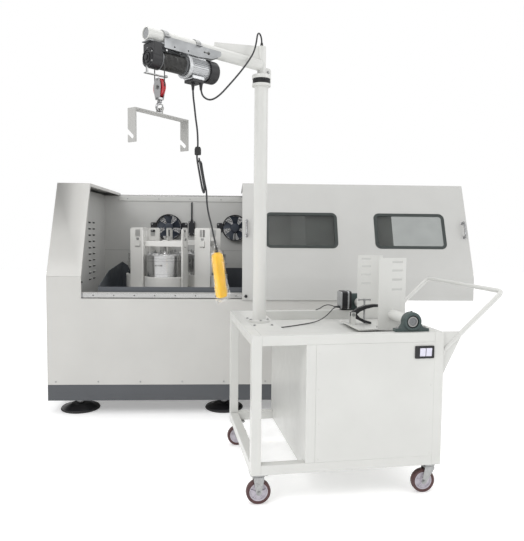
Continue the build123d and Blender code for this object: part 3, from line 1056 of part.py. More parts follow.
def build_cradle():
    """Tilting cradle for emptying a jar, its clamp, bearing and gear motor."""
    place = trolley_place()
    half = CRADLE_WIDTH / 2
    x = (TILT_X - half, TILT_X + half)
    cradle = block((650, x[1]), (CRADLE_Y - 176, CRADLE_Y + 176), (CRADLE_LOW, CRADLE_LOW + 8))
    ring = upright(TILT_X, CRADLE_Y, CRADLE_RADIUS + CRADLE_SHEET, CRADLE_LOW, CRADLE_TOP)
    ring -= upright(TILT_X, CRADLE_Y, CRADLE_RADIUS, CRADLE_LOW, CRADLE_TOP)
    cradle += ring & block(x, (0, TROLLEY_DEPTH), (CRADLE_LOW, CRADLE_TOP))
    for z in CRADLE_SLOT_Z:
        cradle -= block((TILT_X - 10, TILT_X - 10 + CRADLE_SLOT), (200, 320), (z, z + 12))
        cradle -= block((TILT_X - 54, TILT_X - 54 + CRADLE_SLOT), (640, 760), (z, z + 12))
    front_y = CRADLE_Y - CRADLE_RADIUS - 1
    rear_y = CRADLE_Y + CRADLE_RADIUS + 1
    bearing_face = PILLOW_Y[0] + PILLOW_WIDTH / 2 + 3
    gear_face = TROLLEY_DEPTH - TROLLEY_TUBE + 3
    stubs = (
        (bearing_face, front_y, STUB_TUBE_RADIUS),
        (rear_y, gear_face - 3, STUB_TUBE_RADIUS),
        (PILLOW_Y[0] - PILLOW_WIDTH / 2 + 6, bearing_face + 1, STUB_SHAFT_RADIUS),
        (gear_face - 4, gear_face + 30, STUB_SHAFT_RADIUS),
    )
    for start, end, radius in stubs:
        cradle += rod((TILT_X, start, TILT_Z), (0, 1, 0), radius, end - start)
    lugs = (CLAMP_PIVOT[0] - 13, CLAMP_PIVOT[0] + 13)
    side = CLAMP_WIDTH / 2 + 1
    for y in (CLAMP_Y - side - 6, CLAMP_Y + side):
        cradle += block(lugs, (y, y + 6), (CRADLE_LOW, CLAMP_PIVOT[1] + 13))
    cradle += rod((CLAMP_PIVOT[0], CLAMP_Y - side - 6, CLAMP_PIVOT[1]), (0, 1, 0), 5, 2 * side + 12)
    add("pour_cradle", cradle, place=place)

    clamp_y = (CLAMP_Y - CLAMP_WIDTH / 2, CLAMP_Y + CLAMP_WIDTH / 2)
    bow = prism(CLAMP_OUTLINE, "Y", *clamp_y)
    bow -= rod((CLAMP_PIVOT[0], clamp_y[0], CLAMP_PIVOT[1]), (0, 1, 0), 5 + SHAFT_GAP, CLAMP_WIDTH)
    bow -= upright(CLAMP_SCREW_X, CLAMP_Y, THREAD_RADIUS + SHAFT_GAP, CLAMP_SCREW_BOTTOM - 4, CLAMP_BAR_Z)
    add("clamp_bow", bow, place=place)
    screw = upright(CLAMP_SCREW_X, CLAMP_Y, THREAD_RADIUS, CLAMP_SCREW_BOTTOM, CLAMP_BAR_Z)
    screw += rod((CLAMP_SCREW_X - 38, CLAMP_Y, CLAMP_BAR_Z), (1, 0, 0), 4, 76)
    add("clamp_screw", screw, place=place)

    y = PILLOW_Y[0]
    half = PILLOW_WIDTH / 2
    pillow = block((TILT_X - PILLOW_LENGTH / 2, TILT_X + PILLOW_LENGTH / 2), (y - half, y + half),
                   (TROLLEY_TOP, TROLLEY_TOP + 16))
    pillow += rod((TILT_X, y - PILLOW_WIDTH / 2, TILT_Z), (0, 1, 0), PILLOW_RADIUS, PILLOW_WIDTH)
    pillow -= rod((TILT_X, y - half, TILT_Z), (0, 1, 0), STUB_SHAFT_RADIUS + SHAFT_GAP, PILLOW_WIDTH)
    gearbox = block(TILT_GEARBOX_X, (gear_face, TROLLEY_DEPTH), (TROLLEY_TOP, TILT_MOTOR_Z + 40))
    gearbox -= rod((TILT_X, gear_face, TILT_Z), (0, 1, 0), STUB_SHAFT_RADIUS + SHAFT_GAP, 31)
    motor = rod((TILT_MOTOR_X[0], gear_face + 22, TILT_MOTOR_Z), (1, 0, 0), TILT_MOTOR_RADIUS,
                TILT_MOTOR_X[1] - TILT_MOTOR_X[0])
    motor += block((TILT_MOTOR_X[0] + 12, TILT_MOTOR_X[1] - 6), (gear_face + 2, TROLLEY_DEPTH - 2),
                   (TROLLEY_TOP, TILT_MOTOR_Z - 20))
    starts = (LEAD_1_POINTS[0], LEAD_2_POINTS[0])
    glands = [rod(start, (1, 0, 0), 6, TILT_MOTOR_X[0] - start[0]) for start in starts]
    add("tilt_drive", pillow, gearbox, motor, *glands, place=place)


def export_all():
    """Set the origin at the middle of the footprint and write one file for each node."""
    rigid = [solids for name, solids in nodes.items() if name not in CORD_NODES]
    boxes = [solid.bounding_box() for solids in rigid for solid in solids]
    low_x = min(b.min.X for b in boxes)
    high_x = max(b.max.X for b in boxes)
    low_y = min(b.min.Y for b in boxes)
    high_y = max(b.max.Y for b in boxes)
    low_z = min(b.min.Z for b in boxes)
    shift = Pos(-(low_x + high_x) / 2, -(low_y + high_y) / 2, -low_z)
    print("shift", -(low_x + high_x) / 2, -(low_y + high_y) / 2, -low_z)
    os.makedirs("parts", exist_ok=True)
    for name, solids in nodes.items():
        moved = [shift * solid for solid in solids]
        shape = moved[0] if len(moved) == 1 else Compound(children=moved)
        export_step(shape, f"parts/{name}.step")


CORD_NODES = ("pendant_cord", "pendant_hank", "pendant_tail", "power_cord", "lead_1", "lead_2")

build_plinth()
build_body_frame()
build_panels()
build_liners()
guide_low, guide_middle = build_guides()
build_hood(guide_low, guide_middle)
build_drive()
build_stations()
build_tub()
build_fans()
build_trolley()
build_column()
build_hoist()
build_bail()
build_cords()
build_cradle()
export_all()
print(len(nodes), "nodes")
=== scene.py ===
"""Looks of a planetary ball mill with a sliding hood and of its jar trolley with jib hoist.

Each sub-assembly is drawn in the frame of what carries it (mill, trolley, jib, bail), in metres,
and its finished mesh is then set in the row frame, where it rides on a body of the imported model.
"""

from __future__ import annotations

import logging
import math
from contextlib import contextmanager
from dataclasses import dataclass
from enum import Enum
from typing import Iterator, Sequence

import bpy
from mathutils import Matrix, Vector

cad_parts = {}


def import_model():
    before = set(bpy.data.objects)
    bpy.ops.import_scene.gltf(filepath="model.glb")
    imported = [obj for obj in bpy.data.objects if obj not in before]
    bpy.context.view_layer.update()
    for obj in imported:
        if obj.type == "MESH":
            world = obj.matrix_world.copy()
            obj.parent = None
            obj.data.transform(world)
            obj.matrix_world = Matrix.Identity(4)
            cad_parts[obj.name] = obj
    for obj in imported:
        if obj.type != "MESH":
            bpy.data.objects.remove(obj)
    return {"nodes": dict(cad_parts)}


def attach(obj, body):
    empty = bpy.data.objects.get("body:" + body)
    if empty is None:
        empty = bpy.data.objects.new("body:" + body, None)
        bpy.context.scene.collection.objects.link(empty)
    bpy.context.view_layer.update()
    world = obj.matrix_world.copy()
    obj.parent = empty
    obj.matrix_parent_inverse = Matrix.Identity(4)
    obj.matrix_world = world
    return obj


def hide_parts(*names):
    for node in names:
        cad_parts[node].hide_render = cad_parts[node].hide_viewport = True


LOG = logging.getLogger("ball_mill")
Piece = bpy.types.Object
Socket = bpy.types.NodeSocket
Point = tuple[float, float, float]
Pair = tuple[float, float]
Colour = tuple[float, float, float]

ORIGIN: Point = (0.0, 0.0, 0.0)
UP: Point = (0.0, 0.0, 1.0)
DOWN: Point = (0.0, 0.0, -1.0)
OUT: Point = (1.0, 0.0, 0.0)
BACK: Point = (0.0, 1.0, 0.0)
FRONT: Point = (0.0, -1.0, 0.0)

CARRIER_CENTRE: Pair = (0.878, 0.7)
PITCH_RADIUS = 0.28
FIRST_STATION_ANGLE = -13.5
STATION_COUNT = 4
WELD = 0.00001
SPIN_WELD = 0.00002
SMOOTH_ANGLE = 40.0
BEND_STEPS = 6
THREAD_STEP = 0.0015
PATTERN_MIDDLE: Pair = (0.3, 0.7)


def stand(base: Matrix, place: Point, angle: float) -> Matrix:
    """Frame that stands in another one, turned by degrees about its upright axis."""
    return base @ Matrix.Translation(place) @ Matrix.Rotation(math.radians(angle), 4, "Z")


ROW = Matrix.Identity(4)
MILL = Matrix.Translation((-1.5885, 0.066124, 0.0))
TROLLEY = stand(MILL, (1.464, -1.491, 0.0), 7.35)
JIB = stand(TROLLEY, (0.111, 0.445, 0.0), 213.9)
BAIL = stand(JIB, (0.664, 0.0, 0.0), 12.4)


def station_frame(index: int) -> Matrix:
    """Frame of a jar station in the row frame.

    Args:
        index: Station number from 0.

    Returns:
        Matrix with its origin on the floor under the station's axis.
    """
    degrees = FIRST_STATION_ANGLE + index * 360 / STATION_COUNT
    x = CARRIER_CENTRE[0] + PITCH_RADIUS * math.cos(math.radians(degrees))
    y = CARRIER_CENTRE[1] + PITCH_RADIUS * math.sin(math.radians(degrees))
    return stand(MILL, (x, y, 0.0), degrees)


class Axis(Enum):
    """Direction in which a plate is extruded."""

    X = "x"
    Y = "y"
    Z = "z"

    def place(self, a: float, b: float, along: float) -> Point:
        """Point from two places across the direction and one along it."""
        return {"x": (along, a, b), "y": (a, along, b), "z": (a, b, along)}[self.value]


def fill(node: bpy.types.Node, **values: object) -> bpy.types.Node:
    """Set a node's inputs by name, with underscores for spaces."""
    for name, value in values.items():
        node.inputs[name.replace("_", " ")].default_value = value
    return node


class Surface:
    """Node material that is built up socket by socket."""

    def __init__(self, name: str) -> None:
        """Make an empty node material with one shader.

        Args:
            name: Name of the finish.
        """
        self.material = bpy.data.materials.new(name)
        self.material.use_nodes = True
        self.nodes = self.material.node_tree.nodes
        self.links = self.material.node_tree.links
        self.shader = self.nodes["Principled BSDF"]
        self.place = self.nodes.new("ShaderNodeTexCoord").outputs["Object"]

    def set(self, **values: object) -> "Surface":
        """Set sockets of the shader by name, with underscores for spaces."""
        fill(self.shader, **values)
        return self

    def noise(self, scale: float, detail: float = 4.0, stretch: Point = (1.0, 1.0, 1.0)) -> Socket:
        """Add a noise pattern on the piece.

        Args:
            scale: Cells per metre.
            detail: Octaves.
            stretch: Scale factors along the axes.

        Returns:
            Output socket of the pattern.
        """
        mapping = fill(self.nodes.new("ShaderNodeMapping"), Scale=stretch)
        self.links.new(self.place, mapping.inputs["Vector"])
        texture = fill(self.nodes.new("ShaderNodeTexNoise"), Scale=scale, Detail=detail)
        self.links.new(mapping.outputs["Vector"], texture.inputs["Vector"])
        return texture.outputs["Fac"]

    def tint(self, pattern: Socket, dark: Colour, bright: Colour, edges: Pair = PATTERN_MIDDLE) -> "Surface":
        """Colour the surface by a pattern.

        Args:
            pattern: Pattern that picks the colour.
            dark: Colour up to the first edge.
            bright: Colour from the second edge on.
            edges: Values of the pattern between which the colours blend.

        Returns:
            The surface.
        """
        ramp = self.nodes.new("ShaderNodeValToRGB")
        for element, edge, colour in zip(ramp.color_ramp.elements, edges, (dark, bright)):
            element.position = edge
            element.color = (*colour, 1.0)
        self.links.new(pattern, ramp.inputs["Fac"])
        self.links.new(ramp.outputs["Color"], self.shader.inputs["Base Color"])
        return self

    def gloss(self, pattern: Socket, low: float, high: float) -> "Surface":
        """Vary the roughness by a pattern, between a low and a high value."""
        start, end = PATTERN_MIDDLE
        node = fill(self.nodes.new("ShaderNodeMapRange"), From_Min=start, From_Max=end, To_Min=low,
                    To_Max=high)
        self.links.new(pattern, node.inputs["Value"])
        self.links.new(node.outputs["Result"], self.shader.inputs["Roughness"])
        return self

    def bump(self, pattern: Socket, depth: float, strength: float) -> "Surface":
        """Raise the surface by a pattern, depth in metres."""
        node = fill(self.nodes.new("ShaderNodeBump"), Strength=strength, Distance=depth)
        self.links.new(pattern, node.inputs["Height"])
        self.links.new(node.outputs["Normal"], self.shader.inputs["Normal"])
        return self


def shade(colour: Colour, factor: float) -> Colour:
    """Colour made lighter or darker."""
    return tuple(min(1.0, c * factor) for c in colour)


@dataclass(frozen=True)
class Paint:
    """Sprayed paint on metal: faint texture of the coat, cloudy colour and uneven gloss."""

    name: str
    colour: Colour
    roughness: float = 0.42
    coat: float = 0.15
    texture: float = 0.00012
    clouding: float = 0.04

    def build(self) -> bpy.types.Material:
        """Make the material."""
        surface = Surface(self.name).set(Coat_Weight=self.coat, Coat_Roughness=0.25, Specular_IOR_Level=0.45)
        surface.tint(surface.noise(scale=3.5, detail=5.0), shade(self.colour, 1 - self.clouding),
                     shade(self.colour, 1 + self.clouding / 2))
        surface.gloss(surface.noise(scale=18.0), self.roughness - 0.06, self.roughness + 0.08)
        return surface.bump(surface.noise(scale=650.0, detail=2.0), self.texture, strength=0.35).material


@dataclass(frozen=True)
class Metal:
    """Bare, plated or brushed metal with fine lines along one axis; on the jar they are broad painted
    reflection bands.
    """

    name: str
    colour: Colour
    roughness: float = 0.25
    stretch: Point = (1.0, 1.0, 1.0)
    lines: float = 220.0
    scratch: float = 0.00008
    grain_and_reflection_streaks: float = 0.12
    edges: Pair = (0.35, 0.65)

    def build(self) -> bpy.types.Material:
        """Make the material."""
        surface = Surface(self.name).set(Metallic=1.0)
        # Dark and bright bands: brushed grain on most metals, painted reflection streaks on the polished jar.
        grain_and_reflection_bands = surface.noise(self.lines, 6.0, self.stretch)
        surface.tint(grain_and_reflection_bands, shade(self.colour, 1 - self.grain_and_reflection_streaks), shade(self.colour, 1 + self.grain_and_reflection_streaks / 3),
                     self.edges)
        wear = surface.noise(12.0, 5.0, self.stretch)
        surface.gloss(wear, self.roughness * 0.75, self.roughness * 1.35)
        return surface.bump(grain_and_reflection_bands, self.scratch, strength=0.4).material


@dataclass(frozen=True)
class Moulded:
    """Rubber or plastic with a fine moulded skin."""

    name: str
    colour: Colour
    roughness: float = 0.55
    skin: float = 900.0
    relief: float = 0.0001
    subsurface: float = 0.0

    def build(self) -> bpy.types.Material:
        """Make the material."""
        surface = Surface(self.name).set(Specular_IOR_Level=0.4, Subsurface_Weight=self.subsurface)
        surface.tint(surface.noise(scale=14.0, detail=6.0), shade(self.colour, 0.85),
                     shade(self.colour, 1.12))
        surface.gloss(surface.noise(scale=40.0), self.roughness - 0.08, self.roughness + 0.1)
        return surface.bump(surface.noise(self.skin, detail=2.0), self.relief, strength=0.4).material


@dataclass(frozen=True)
class Clear:
    """Glass or clear film."""

    name: str
    colour: Colour
    roughness: float = 0.03
    transmission: float = 0.9
    alpha: float = 1.0
    wrinkle: float = 0.0

    def build(self) -> bpy.types.Material:
        """Make the material."""
        surface = Surface(self.name).set(Transmission_Weight=self.transmission, Alpha=self.alpha, IOR=1.45)
        surface.tint(surface.noise(scale=9.0, detail=3.0), shade(self.colour, 0.92), self.colour)
        surface.gloss(surface.noise(scale=25.0), self.roughness, self.roughness + 0.05)
        if self.wrinkle:
            surface.bump(surface.noise(scale=70.0, detail=5.0), self.wrinkle, strength=0.8)
        surface.material.surface_render_method = "DITHERED"
        return surface.material


class Finish(Enum):
    """Finishes of the mill and its trolley."""

    CABINET = Paint("cabinet_grey", (0.525, 0.52, 0.5))
    HOOD = Paint("hood_grey", (0.51, 0.51, 0.495))
    PLINTH = Paint("plinth_slate", (0.062, 0.067, 0.075), 0.38, 0.3)
    TUB = Paint("tub_slate", (0.075, 0.083, 0.095), 0.4, 0.2)
    LINER = Paint("liner_grey", (0.585, 0.585, 0.568), 0.5)
    CARRIER = Paint("station_white", (0.7, 0.695, 0.67), 0.36)
    TROLLEY = Paint("trolley_white", (0.62, 0.622, 0.6), 0.34, 0.25)
    BAIL = Paint("bail_grey", (0.37, 0.368, 0.355), 0.4)
    MOTOR = Paint("motor_grey", (0.23, 0.235, 0.24), 0.42)
    GREEN_CAST = Paint("bearing_green", (0.04, 0.062, 0.06), 0.4, 0.2, 0.0004)
    BLACK = Paint("black_enamel", (0.012, 0.012, 0.014), 0.42, 0.08)
    RED = Paint("sheave_red", (0.42, 0.025, 0.035), 0.3, 0.5)
    STEEL = Metal("brushed_steel", (0.36, 0.36, 0.355), 0.3)
    # Strong broad vertical bands on the jar: painted reflections of its polished steel.
    JAR = Metal("jar_steel", (0.2, 0.197, 0.19), 0.16, (1.0, 1.0, 0.015), 22.0, 0.006, 0.9, (0.46, 0.58))
    RAIL = Metal("ground_rail", (0.52, 0.52, 0.515), 0.26, (0.05, 1.0, 1.0), grain_and_reflection_streaks=0.06)
    ZINC = Metal("zinc_plate", (0.38, 0.385, 0.385), 0.32, (1.0, 1.0, 1.0), 60.0, 0.00005, 0.15)
    CHROME = Metal("chrome", (0.36, 0.36, 0.365), 0.12, grain_and_reflection_streaks=0.04)
    ALUMINIUM = Metal("cast_aluminium", (0.55, 0.56, 0.57), 0.42, scratch=0.0003)
    CAST = Paint("cast_grey", (0.16, 0.165, 0.17), 0.5, 0.05, 0.0005)
    RUBBER = Moulded("black_rubber", (0.016, 0.016, 0.017), 0.6)
    BELT = Moulded("belt_rubber", (0.02, 0.02, 0.021), 0.7)
    CORD = Moulded("cord_sheath", (0.03, 0.031, 0.033), 0.5)
    TYRE = Moulded("tyre_maroon", (0.085, 0.04, 0.04), 0.5)
    HUB = Moulded("hub_lavender", (0.52, 0.49, 0.54), 0.4)
    FAN = Moulded("fan_black", (0.018, 0.019, 0.023), 0.45)
    ROCKER = Moulded("rocker_lilac", (0.7, 0.69, 0.8), 0.3)
    AMBER = Moulded("pendant_amber", (0.95, 0.52, 0.02), 0.35, subsurface=0.1)
    # Black of the carriage seals, pendant buttons, swivel band and bearing seal; also the painted shade sheet
    # behind the louvres.
    DARK = Moulded("black_parts_and_painted_shade", (0.01, 0.01, 0.011), 0.6)
    GLASS = Clear("smoked_glass", (0.42, 0.44, 0.43), 0.01, 0.95)
    FILM = Clear("clear_film", (0.92, 0.92, 0.9), 0.1, 0.9, 0.13, 0.002)
    GASKET = Moulded("window_gasket", (0.04, 0.048, 0.046), 0.5)
    FAN_BLUE = Moulded("fan_slate", (0.05, 0.06, 0.08), 0.4)
    GALVANISED = Metal("galvanised", (0.33, 0.338, 0.345), 0.48, (1.0, 1.0, 1.0), 8.0, 0.00002, 0.05)
    ROPE = Metal("wire_rope", (0.1, 0.1, 0.098), 0.45, (1.0, 1.0, 1.0), 500.0, 0.0003, 0.5)

    def material(self) -> bpy.types.Material:
        """Material of this finish, made once."""
        return bpy.data.materials.get(self.value.name) or self.value.build()


CAD_NODES: dict[Finish, tuple[str, ...]] = {
    Finish.PLINTH: ("plinth_frame",),
    Finish.RUBBER: ("levelling_feet",),
    Finish.CABINET: ("body_frame", "front_panel", "end_and_rear_panels"),
    Finish.LINER: ("chamber_liners",),
    Finish.TUB: ("drip_tub",),
    Finish.RAIL: ("guide_rails",),
    Finish.HOOD: ("hood_shell",),
    Finish.GLASS: ("hood_windows",),
    Finish.STEEL: ("hood_fittings",),
    Finish.CARRIER: ("carrier", "station"),
    Finish.JAR: ("jar", "jar_lid"),
    Finish.BELT: ("planet_belts", "drive_belt"),
    Finish.CAST: ("bearing_housing", "motor_pulley"),
    Finish.MOTOR: ("drive_motor", "hoist_body"),
    Finish.FAN: ("fan_rotor", "fan_frames"),
    Finish.TROLLEY: ("trolley_frame", "trolley_panels", "push_handle", "column", "jib_arm", "pour_cradle"),
    Finish.ROCKER: ("switch_rocker",),
    Finish.ZINC: ("caster_fork_front", "caster_fork_rear", "hoist_drum", "clamp_screw"),
    Finish.TYRE: ("wheel_front", "wheel_rear", "wheels_left"),
    Finish.ROPE: ("hoist_rope",),
    Finish.CHROME: ("hook_block",),
    Finish.BAIL: ("lifting_bail",),
    Finish.AMBER: ("pendant",),
    Finish.BLACK: ("clamp_bow",),
    Finish.GREEN_CAST: ("tilt_drive",),
}
CAD_FINISH: dict[str, Finish] = {node: finish for finish, nodes in CAD_NODES.items() for node in nodes}


def spawn(name: str, data: bpy.types.ID) -> Piece:
    """New object of the scene for a mesh, curve, lamp or camera."""
    piece = bpy.data.objects.new(name, data)
    bpy.context.scene.collection.objects.link(piece)
    return piece


class Bench:
    """Workbench: makes pieces with Blender's own modelling operators and hands them over."""

    @staticmethod
    def clear() -> None:
        """Leave edit mode and deselect everything."""
        if bpy.context.object and bpy.context.object.mode != "OBJECT":
            bpy.ops.object.mode_set(mode="OBJECT")
        bpy.ops.object.select_all(action="DESELECT")

    @staticmethod
    def pick(*pieces: Piece) -> Piece:
        """Select pieces and make the first one active."""
        Bench.clear()
        for piece in pieces:
            piece.select_set(True)
        bpy.context.view_layer.objects.active = pieces[0]
        return pieces[0]

    @staticmethod
    @contextmanager
    def editing() -> Iterator[None]:
        """Edit the active piece with all of it selected."""
        bpy.ops.object.mode_set(mode="EDIT")
        bpy.ops.mesh.select_all(action="SELECT")
        yield
        bpy.ops.object.mode_set(mode="OBJECT")

    @staticmethod
    def bake(piece: Piece) -> Piece:
        """Put a piece's place, turn and scale into its mesh."""
        Bench.pick(piece)
        bpy.ops.object.transform_apply(location=True, rotation=True, scale=True)
        return piece

    @staticmethod
    def modify(piece: Piece, kind: str, **settings: object) -> Piece:
        """Add a modifier with its settings and apply it.

        Args:
            piece: Mesh piece.
            kind: Modifier type.
            settings: Values of the modifier.

        Returns:
            The same piece.
        """
        Bench.pick(piece)
        modifier = piece.modifiers.new(kind.lower(), kind)
        for name, value in settings.items():
            setattr(modifier, name, value)
        bpy.ops.object.modifier_apply(modifier=modifier.name)
        return piece

    @staticmethod
    def round_edges(piece: Piece, width: float, segments: int = 2, angle: float = 30.0) -> Piece:
        """Round a piece's sharp edges."""
        return Bench.modify(piece, "BEVEL", width=width, segments=segments, limit_method="ANGLE",
                            angle_limit=math.radians(angle), harden_normals=False)

    @staticmethod
    def box(low: Point, high: Point, bevel: float = 0.0015, segments: int = 2) -> Piece:
        """Block between two corners, with rounded edges.

        Args:
            low: Lowest corner.
            high: Highest corner.
            bevel: Width of the rounding.
            segments: Steps of the rounding.

        Returns:
            The new piece.
        """
        Bench.clear()
        centre = [(a + b) / 2 for a, b in zip(low, high)]
        bpy.ops.mesh.primitive_cube_add(size=1.0, location=centre)
        piece = bpy.context.object
        piece.scale = [b - a for a, b in zip(low, high)]
        Bench.bake(piece)
        return Bench.round_edges(piece, bevel, segments) if bevel else piece

    @staticmethod
    def rod(start: Point, end: Point, radius: float, sides: int = 32, bevel: float = 0.0) -> Piece:
        """Round bar between two points.

        Args:
            start: Centre of one end.
            end: Centre of the other end.
            radius: Radius of the bar.
            sides: Faces round the bar.
            bevel: Rounding of the two ends.

        Returns:
            The new piece.
        """
        Bench.clear()
        a, b = Vector(start), Vector(end)
        turn = (b - a).to_track_quat("Z", "Y").to_euler()
        bpy.ops.mesh.primitive_cylinder_add(vertices=sides, radius=radius, depth=(b - a).length,
                                            location=(a + b) / 2, rotation=turn)
        piece = Bench.bake(bpy.context.object)
        return Bench.round_edges(piece, bevel, 2, 60.0) if bevel else piece

    @staticmethod
    def outline(points: Sequence[Point], fill: str) -> Piece:
        """Closed loop through points, shaped from a circle.

        Args:
            points: Corners of the loop, in order.
            fill: NGON for a face, NOTHING for an empty loop.

        Returns:
            The new piece.
        """
        Bench.clear()
        bpy.ops.mesh.primitive_circle_add(vertices=len(points), radius=1.0, fill_type=fill)
        piece = bpy.context.object
        for vertex, place in zip(piece.data.vertices, points):
            vertex.co = place
        return piece

    @staticmethod
    def turned(profile: Sequence[Pair], origin: Point = ORIGIN, axis: Point = UP, sides: int = 48,
               ring: bool = False) -> Piece:
        """Piece turned on a lathe.

        Args:
            profile: Radius and height of each point, from one end to the other.
            origin: Point on the axis where the height is 0.
            axis: Direction of the axis.
            sides: Steps of the spin.
            ring: The profile is a closed loop that keeps clear of the axis.

        Returns:
            The new piece, its faces pointing outwards.
        """
        piece = Bench.outline([(r, 0.0, h) for r, h in profile], "NOTHING")
        if not ring:
            last = len(profile) - 1
            for edge in piece.data.edges:
                edge.select = set(edge.vertices) == {0, last}
            for vertex in piece.data.vertices:
                vertex.select = vertex.index in (0, last)
            bpy.ops.object.mode_set(mode="EDIT")
            bpy.ops.mesh.select_mode(type="EDGE")
            bpy.ops.mesh.delete(type="EDGE")
            bpy.ops.mesh.select_mode(type="VERT")
            bpy.ops.object.mode_set(mode="OBJECT")
        with Bench.editing():
            bpy.ops.mesh.spin(steps=sides, angle=math.tau, center=ORIGIN, axis=UP)
            bpy.ops.mesh.select_all(action="SELECT")
            bpy.ops.mesh.remove_doubles(threshold=SPIN_WELD)
            bpy.ops.mesh.normals_make_consistent(inside=False)
        piece.rotation_mode = "QUATERNION"
        piece.rotation_quaternion = Vector(axis).to_track_quat("Z", "Y")
        piece.location = origin
        return Bench.bake(piece)

    @staticmethod
    def plate(outline: Sequence[Pair], axis: Axis, start: float, end: float, bevel: float = 0.001,
              segments: int = 2) -> Piece:
        """Flat plate cut to an outline and extruded.

        Args:
            outline: Corners in the two axes other than the named one.
            axis: Direction of the extrusion.
            start: Place of the first face.
            end: Place of the second face.
            bevel: Rounding of the edges.
            segments: Steps of the rounding.

        Returns:
            The new piece.
        """
        piece = Bench.outline([axis.place(a, b, start) for a, b in outline], "NGON")
        move = axis.place(0.0, 0.0, end - start)
        with Bench.editing():
            bpy.ops.mesh.extrude_region_move(TRANSFORM_OT_translate={"value": move})
            bpy.ops.mesh.select_all(action="SELECT")
            bpy.ops.mesh.normals_make_consistent(inside=False)
        return Bench.round_edges(piece, bevel, segments) if bevel else piece

    @staticmethod
    def pipe(points: Sequence[Point], radius: float, rounding: float = 0.0, sides: int = 6) -> Piece:
        """Bent bar or wire along points.

        Args:
            points: Corners of the route.
            radius: Radius of the bar.
            rounding: How far from each corner the bend begins.
            sides: Resolution of the section.

        Returns:
            The new mesh piece, closed at its ends.
        """
        route = [Vector(p) for p in points]
        dense = [route[0]]
        for before, corner, after in zip(route, route[1:], route[2:]):
            a = corner + (before - corner).normalized() * rounding
            b = corner + (after - corner).normalized() * rounding
            shares = [step / BEND_STEPS for step in range(BEND_STEPS + 1)] if rounding else [0.0]
            dense += [a.lerp(corner, t).lerp(corner.lerp(b, t), t) for t in shares]
        dense.append(route[-1])
        curve = bpy.data.curves.new("bar", "CURVE")
        curve.dimensions = "3D"
        spline = curve.splines.new("POLY")
        spline.points.add(len(dense) - 1)
        for point, place in zip(spline.points, dense):
            point.co = (*place, 1.0)
        curve.bevel_depth = radius
        curve.bevel_resolution = sides
        curve.use_fill_caps = True
        Bench.pick(spawn("bar", curve))
        bpy.ops.object.convert(target="MESH")
        return Bench.tidy(bpy.context.object)

    @staticmethod
    def tidy(piece: Piece) -> Piece:
        """Merge doubled corners and point the faces outwards."""
        Bench.pick(piece)
        with Bench.editing():
            bpy.ops.mesh.remove_doubles(threshold=WELD)
            bpy.ops.mesh.normals_make_consistent(inside=False)
        return piece

    @staticmethod
    def cut(piece: Piece, *tools: Piece) -> Piece:
        """Cut tools out of a piece and throw them away."""
        for tool in tools:
            Bench.modify(piece, "BOOLEAN", operation="DIFFERENCE", object=tool, solver="EXACT")
            bpy.data.objects.remove(tool)
        return piece

    @staticmethod
    def copy(piece: Piece, move: Point = ORIGIN, turn: Matrix | None = None) -> Piece:
        """Copy of a piece with its own mesh, turned and then moved."""
        twin = piece.copy()
        twin.data = piece.data.copy()
        bpy.context.scene.collection.objects.link(twin)
        twin.data.transform(Matrix.Translation(move) @ (turn or Matrix.Identity(4)))
        return twin

    @staticmethod
    def repeat(piece: Piece, moves: Sequence[Point]) -> list[Piece]:
        """The piece and a copy of it at each further move."""
        return [piece, *(Bench.copy(piece, move) for move in moves)]

    @staticmethod
    def around(piece: Piece, count: int, centre: Point = ORIGIN, axis: str = "Z") -> list[Piece]:
        """The piece and its copies, evenly round an axis.

        Args:
            piece: First piece.
            count: How many there are in all.
            centre: Point on the axis.
            axis: Letter of the axis.

        Returns:
            All the pieces.
        """
        there, back = Matrix.Translation(centre), Matrix.Translation([-c for c in centre])
        turns = [there @ Matrix.Rotation(math.tau * i / count, 4, axis) @ back for i in range(1, count)]
        return [piece, *(Bench.copy(piece, turn=turn) for turn in turns)]

    @staticmethod
    def bolt(place: Point, direction: Point, size: float, sides: int = 6) -> Piece:
        """Screw head on its washer.

        Args:
            place: Middle of the seat.
            direction: Way the head stands out.
            size: Radius of the head.
            sides: 6 for a hexagon, more for a round head.

        Returns:
            The new piece.
        """
        seat, way = Vector(place), Vector(direction).normalized()
        washer = Bench.rod(seat - way * 0.0002, seat + way * size * 0.25, size * 1.45, 20)
        head = Bench.rod(seat + way * size * 0.2, seat + way * size, size, sides, size * 0.12)
        return Bench.join(washer, head)

    @staticmethod
    def join(*pieces: Piece) -> Piece:
        """Make several pieces of one finish into one."""
        Bench.pick(*pieces)
        if len(pieces) > 1:
            bpy.ops.object.join()
        return bpy.context.object

    @staticmethod
    def recast(node: str, bevel: float, segments: int = 2) -> Piece:
        """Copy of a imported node's mesh with its edges rounded, in the row frame.

        Args:
            node: Name of the node.
            bevel: Width of the rounding.
            segments: Steps of the rounding.

        Returns:
            The new piece.
        """
        piece = Bench.pick(spawn(node + "_sheet", FRAME["nodes"][node].data.copy()))
        bpy.ops.mesh.customdata_custom_splitnormals_clear()
        with Bench.editing():
            bpy.ops.mesh.remove_doubles(threshold=WELD)
            bpy.ops.mesh.dissolve_limited(angle_limit=math.radians(0.5))
        return Bench.round_edges(piece, bevel, segments, 35.0)


